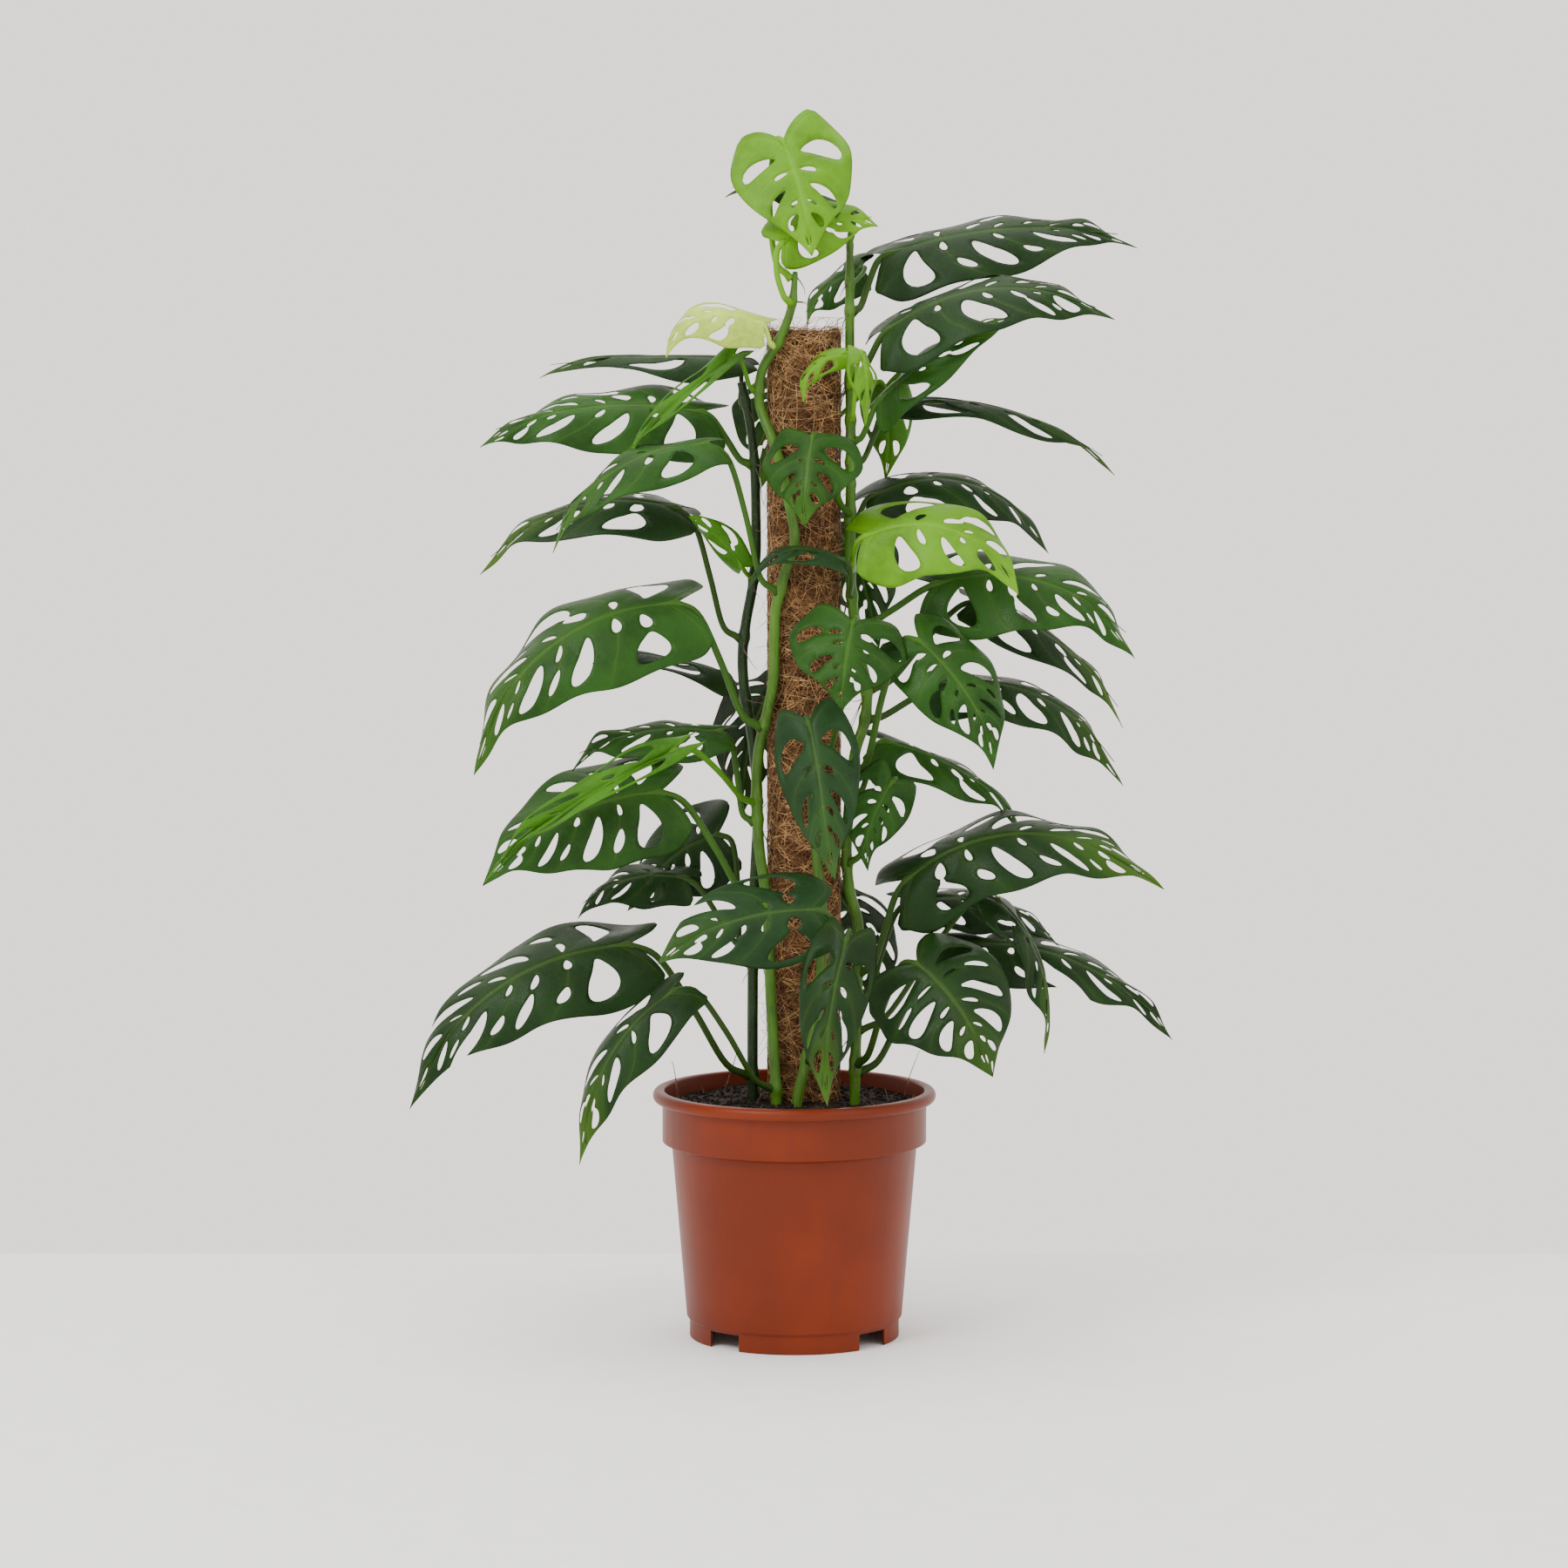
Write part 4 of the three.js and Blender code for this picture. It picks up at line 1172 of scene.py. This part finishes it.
class MONSTERA_OT_soil(bpy.types.Operator):
    """Fills the pot with lumpy soil, crumbs and small twigs"""

    bl_idname = "monstera.soil"
    bl_label = "Soil"

    DEPTH = 0.03
    RINGS = 46
    STEPS = 150
    MOUND = 0.004
    MOUND_REACH = 0.06
    # Place and sideways lean of each tall twig.
    TALL_TWIGS = ((0.094, 0.026, 0.12), (-0.097, 0.008, -0.2), (-0.06, 0.07, 0.3))

    def execute(self, context):
        noise.seed_set(SEED)
        self.look = settings().soil
        low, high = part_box("soil")
        self.top = high.z
        self.radius = (high.x - low.x) / 2
        finish = soil_finish("potting_soil", tuple(self.look.dark), tuple(self.look.light))
        piece("soil_surface", self.surface(), [finish], ["soil"])
        rng = random.Random("crumbs")
        crumbs = piece("soil_crumbs", self.crumbs(rng), [finish])
        crumbs.data.shade_flat()
        twigs = [self.twig(rng) for _ in range(self.look.twigs)]
        twigs += [self.tall_twig(*spot) for spot in self.TALL_TWIGS]
        piece("soil_twigs", tubes(twigs, 0), [root_finish("twig", TWIG_TINT)])
        return {"FINISHED"}

    def level(self, x, y):
        """Height of the soil, with a low mound round the pole."""
        spot = Vector((x, y, 0))
        rise = noise.noise(spot * 30) * self.look.lumps
        rise += noise.noise(spot * 130) * self.look.lumps * 0.45
        mound = self.MOUND * math.exp(-((spot.length / self.MOUND_REACH) ** 2))
        return self.top - self.look.lumps * 0.6 + rise + mound

    def anywhere(self, rng, margin):
        """A random place on the soil, at least the margin from its edge."""
        away = (self.radius - margin) * math.sqrt(rng.random())
        bearing = rng.uniform(0, 2 * math.pi)
        return away * math.cos(bearing), away * math.sin(bearing)

    def surface(self):
        """The lumpy top of the soil, closed below."""
        bottom = self.top - self.DEPTH
        edge = self.radius - 0.0003
        profile = [(0, bottom), (edge - 0.0003, bottom)]
        profile += [(edge * (1 - ring / self.RINGS), self.top) for ring in range(self.RINGS + 1)]
        bm = spun(profile, self.STEPS)
        for vertex in bm.verts:
            if vertex.co.z > bottom + WELD:
                vertex.co.z = self.level(vertex.co.x, vertex.co.y)
        return mesh_from(bm, "soil")

    def crumbs(self, rng):
        """Loose angular crumbs lying on the soil."""
        bm = bmesh.new()
        for _ in range(self.look.crumbs):
            x, y = self.anywhere(rng, 0.004)
            size = self.look.crumb * rng.uniform(0.16, 0.62) * (1.5 if rng.random() < 0.08 else 1)
            turn = Matrix.Rotation(rng.uniform(0, 6.3), 4, Vector((rng.random(), rng.random(), 1)))
            squeeze = Matrix.Diagonal((1, rng.uniform(0.5, 0.9), rng.uniform(0.45, 0.8), 1))
            place = Matrix.Translation((x, y, self.level(x, y) + size * 0.2))
            bmesh.ops.create_icosphere(
                bm, subdivisions=1, radius=size, matrix=place @ turn @ squeeze
            )
        for vertex in bm.verts:
            vertex.co += noise.noise_vector(vertex.co * 700) * 0.0007
        return mesh_from(bm, "crumbs")

    def twig(self, rng):
        """A short twig that lies or stands in the soil, inside the pot's wall."""
        x, y = self.anywhere(rng, 0.006)
        standing = rng.random() < 0.12
        rise = rng.uniform(0.5, 1.6) if standing else rng.uniform(0, 0.15)
        heading = Vector((rng.gauss(0, 1), rng.gauss(0, 1), 0)).normalized() + UP * rise
        reach = rng.uniform(0.008, 0.02)
        edge = self.radius - 0.003
        spot = Vector((x, y, self.level(x, y) - 0.0005))
        path = []
        for step in range(6):
            path.append((spot.copy(), 0.00045 * (1 - step * 0.1)))
            spot += heading.normalized() * reach / 5
            heading += noise.noise_vector(spot * 200) * 0.5
            flat = math.hypot(spot.x, spot.y)
            if flat > edge:
                spot.x *= edge / flat
                spot.y *= edge / flat
        return path

    def tall_twig(self, x, y, lean):
        """A thin twig that stands above the pot's lip."""
        spot = Vector((x, y, self.level(x, y) - 0.001))
        heading = Vector((lean, 0.1, 1)).normalized()
        path = []
        for step in range(9):
            path.append((spot.copy(), 0.0007 * (1 - step * 0.07)))
            spot += heading * 0.0042
            heading += noise.noise_vector(spot * 90) * 0.25
        return path


class MONSTERA_OT_pot(bpy.types.Operator):
    """Moulds the pot: rolled lip, collar, tapered body and notched foot ring"""

    bl_idname = "monstera.pot"
    bl_label = "Pot"

    STEPS = 144
    FIRST_NOTCH = math.radians(48)

    def execute(self, context):
        look = settings().pot
        foot = max(
            math.hypot(v.co.x, v.co.y) for v in frame["nodes"]["pot"].data.vertices if v.co.z < WELD
        )
        shell = mesh_from(spun(self.profile(look, foot), self.STEPS), "pot")
        cutter = bpy.data.objects.new("cutter", self.cutters(look, foot))
        bpy.context.scene.collection.objects.link(cutter)

        def prepare(holder):
            bevel = holder.modifiers.new("edges", "BEVEL")
            bevel.width = 0.0006
            bevel.segments = 3
            bevel.limit_method = "ANGLE"
            bevel.angle_limit = math.radians(34)
            cut = holder.modifiers.new("notches", "BOOLEAN")
            cut.operation = "DIFFERENCE"
            cut.solver = "EXACT"
            cut.object = cutter

        mesh = applied(shell, prepare)
        bpy.data.objects.remove(cutter)
        finish = plastic_finish("pot_plastic", tuple(look.plastic), tuple(look.scuff))
        piece("pot_shell", mesh, [finish], ["pot"])
        mesh.set_sharp_from_angle(angle=math.radians(38))
        return {"FINISHED"}

    @staticmethod
    def profile(look, foot):
        """The pot's (radius, height) corners, up the outside and down the inside."""
        low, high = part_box("pot")
        rim = (high.x - low.x) / 2
        top = high.z
        collar = rim - look.lip_overhang
        body = collar - look.shoulder_step
        lip_low = top - look.lip_height
        shoulder = lip_low - look.collar_height
        slope = shoulder - look.shoulder_rise
        floor = look.foot_height
        roll = look.lip_height / 2
        flat = roll * 0.8
        lip = [
            (rim - flat + flat * math.cos(turn), top - roll + roll * math.sin(turn))
            for turn in (math.radians(degrees) for degrees in range(-90, 91, 15))
        ]
        low_body, low_edge = foot + look.foot_step, floor + look.foot_step
        flank = [
            (body + (low_body - body) * (1 - share), low_edge + (slope - low_edge) * share)
            for share in (0, 0.25, 0.5, 0.75, 1)
        ]
        inside = collar - look.wall
        sole = floor + 0.0024
        return [
            (0, floor), (foot - look.wall, floor), (foot - look.wall, 0), (foot, 0), (foot, floor),
            *flank, (collar, shoulder), (collar, lip_low), *lip,
            (inside + 0.0016, top), (inside + 0.0004, top - 0.0006), (inside, top - 0.002),
            (inside, shoulder + look.wall), (body - look.wall, slope + look.wall),
            (low_body - look.wall, sole), (0, sole),
        ]

    @classmethod
    def cutters(cls, look, foot):
        """Blocks for the foot ring's notches, and pegs for the drain holes."""
        floor = look.foot_height
        bm = bmesh.new()
        for notch in range(look.notches):
            turn = Matrix.Rotation(cls.FIRST_NOTCH + 2 * math.pi * notch / look.notches, 4, "Z")
            size = Matrix.Diagonal((foot, look.notch_width, 2 * floor - look.foot_step, 1))
            place = turn @ Matrix.Translation((foot, 0, 0))
            bmesh.ops.create_cube(bm, size=1, matrix=place @ size)
        for hole in range(look.drain_holes):
            turn = Matrix.Rotation(2 * math.pi * hole / look.drain_holes, 4, "Z")
            place = turn @ Matrix.Translation((look.drain_ring / 2, 0, floor))
            bmesh.ops.create_cone(
                bm, cap_ends=True, segments=20, radius1=look.drain_width / 2,
                radius2=look.drain_width / 2, depth=0.012, matrix=place,
            )
        return mesh_from(bm, "cutters")


class MONSTERA_OT_stage(bpy.types.Operator):
    """Sets the floor, the light and the camera"""

    bl_idname = "monstera.stage"
    bl_label = "Stage"

    FLOOR_DEPTH = 5.2
    FLOOR_HALF_WIDTH = 4.2
    BACKDROP_STRENGTH = 2.1
    # Name, place, height aimed at, diameter and power of each lamp.
    LAMPS = (
        ("key", (-1.5, -1.9, 2.5), 0.55, 1.5, 66),
        ("fill", (1.9, -1.6, 1.4), 0.5, 1.6, 10),
        ("top", (0.0, 0.2, 2.9), 0.4, 1.8, 30),
    )

    def execute(self, context):
        look = settings().stage
        scene = context.scene
        bm = bmesh.new()
        bmesh.ops.create_grid(bm, x_segments=4, y_segments=4, size=1)
        half = self.FLOOR_DEPTH / 2
        bmesh.ops.scale(bm, vec=(self.FLOOR_HALF_WIDTH, half, 1), verts=bm.verts)
        bmesh.ops.translate(bm, vec=(0, look.floor_back - half, -0.0002), verts=bm.verts)
        floor = bpy.data.objects.new("floor", mesh_from(bm, "floor"))
        floor.data.materials.append(floor_finish("floor", tuple(look.floor)))
        scene.collection.objects.link(floor)

        world = bpy.data.worlds.new("backdrop")
        world.use_nodes = True
        scene.world = world
        background = world.node_tree.nodes["Background"]
        background.inputs["Color"].default_value = (*look.backdrop, 1)
        background.inputs["Strength"].default_value = self.BACKDROP_STRENGTH

        for name, spot, aim, size, power in self.LAMPS:
            light = bpy.data.lights.new(name, "AREA")
            light.shape = "DISK"
            light.size = size
            light.energy = power
            lamp = bpy.data.objects.new(name, light)
            lamp.location = spot
            way = Vector(spot) - Vector((0, 0, aim))
            lamp.rotation_euler = way.to_track_quat("Z", "Y").to_euler()
            scene.collection.objects.link(lamp)

        lens = bpy.data.cameras.new("camera")
        lens.lens = 114.84
        lens.sensor_width = 36
        camera = bpy.data.objects.new("camera", lens)
        camera.location = (-0.0088, -look.distance, look.eye)
        camera.rotation_euler = (math.pi / 2 - look.tilt, 0, 0)
        scene.collection.objects.link(camera)
        scene.camera = camera
        return {"FINISHED"}


OPERATORS = (
    MONSTERA_OT_stage,
    MONSTERA_OT_pot,
    MONSTERA_OT_soil,
    MONSTERA_OT_pole,
    MONSTERA_OT_stems,
    MONSTERA_OT_leaves,
)


class MONSTERA_PT_panel(bpy.types.Panel):
    """Steps and settings of the potted monstera"""

    bl_label = "Potted Monstera"
    bl_idname = "MONSTERA_PT_panel"
    bl_space_type = "VIEW_3D"
    bl_region_type = "UI"
    bl_category = "Monstera"

    def draw(self, context):
        for operator in OPERATORS:
            self.layout.operator(operator.bl_idname)
        for name in PlantSettings.__annotations__:
            part = getattr(settings(), name)
            box = self.layout.box()
            box.label(text=type(part).__doc__)
            for key in type(part).__annotations__:
                box.prop(part, key)


CLASSES = (
    PotSettings, SoilSettings, PoleSettings, StemSettings, LeafSettings, StageSettings,
    PlantSettings, *OPERATORS, MONSTERA_PT_panel,
)


def register():
    for made in CLASSES:
        bpy.utils.register_class(made)
    bpy.types.Scene.monstera = PointerProperty(type=PlantSettings)


def unregister():
    del bpy.types.Scene.monstera
    for made in reversed(CLASSES):
        bpy.utils.unregister_class(made)


def main():
    register()
    for operator in OPERATORS:
        getattr(bpy.ops.monstera, operator.bl_idname.split(".")[1])()


if __name__ == "__main__":
    main()
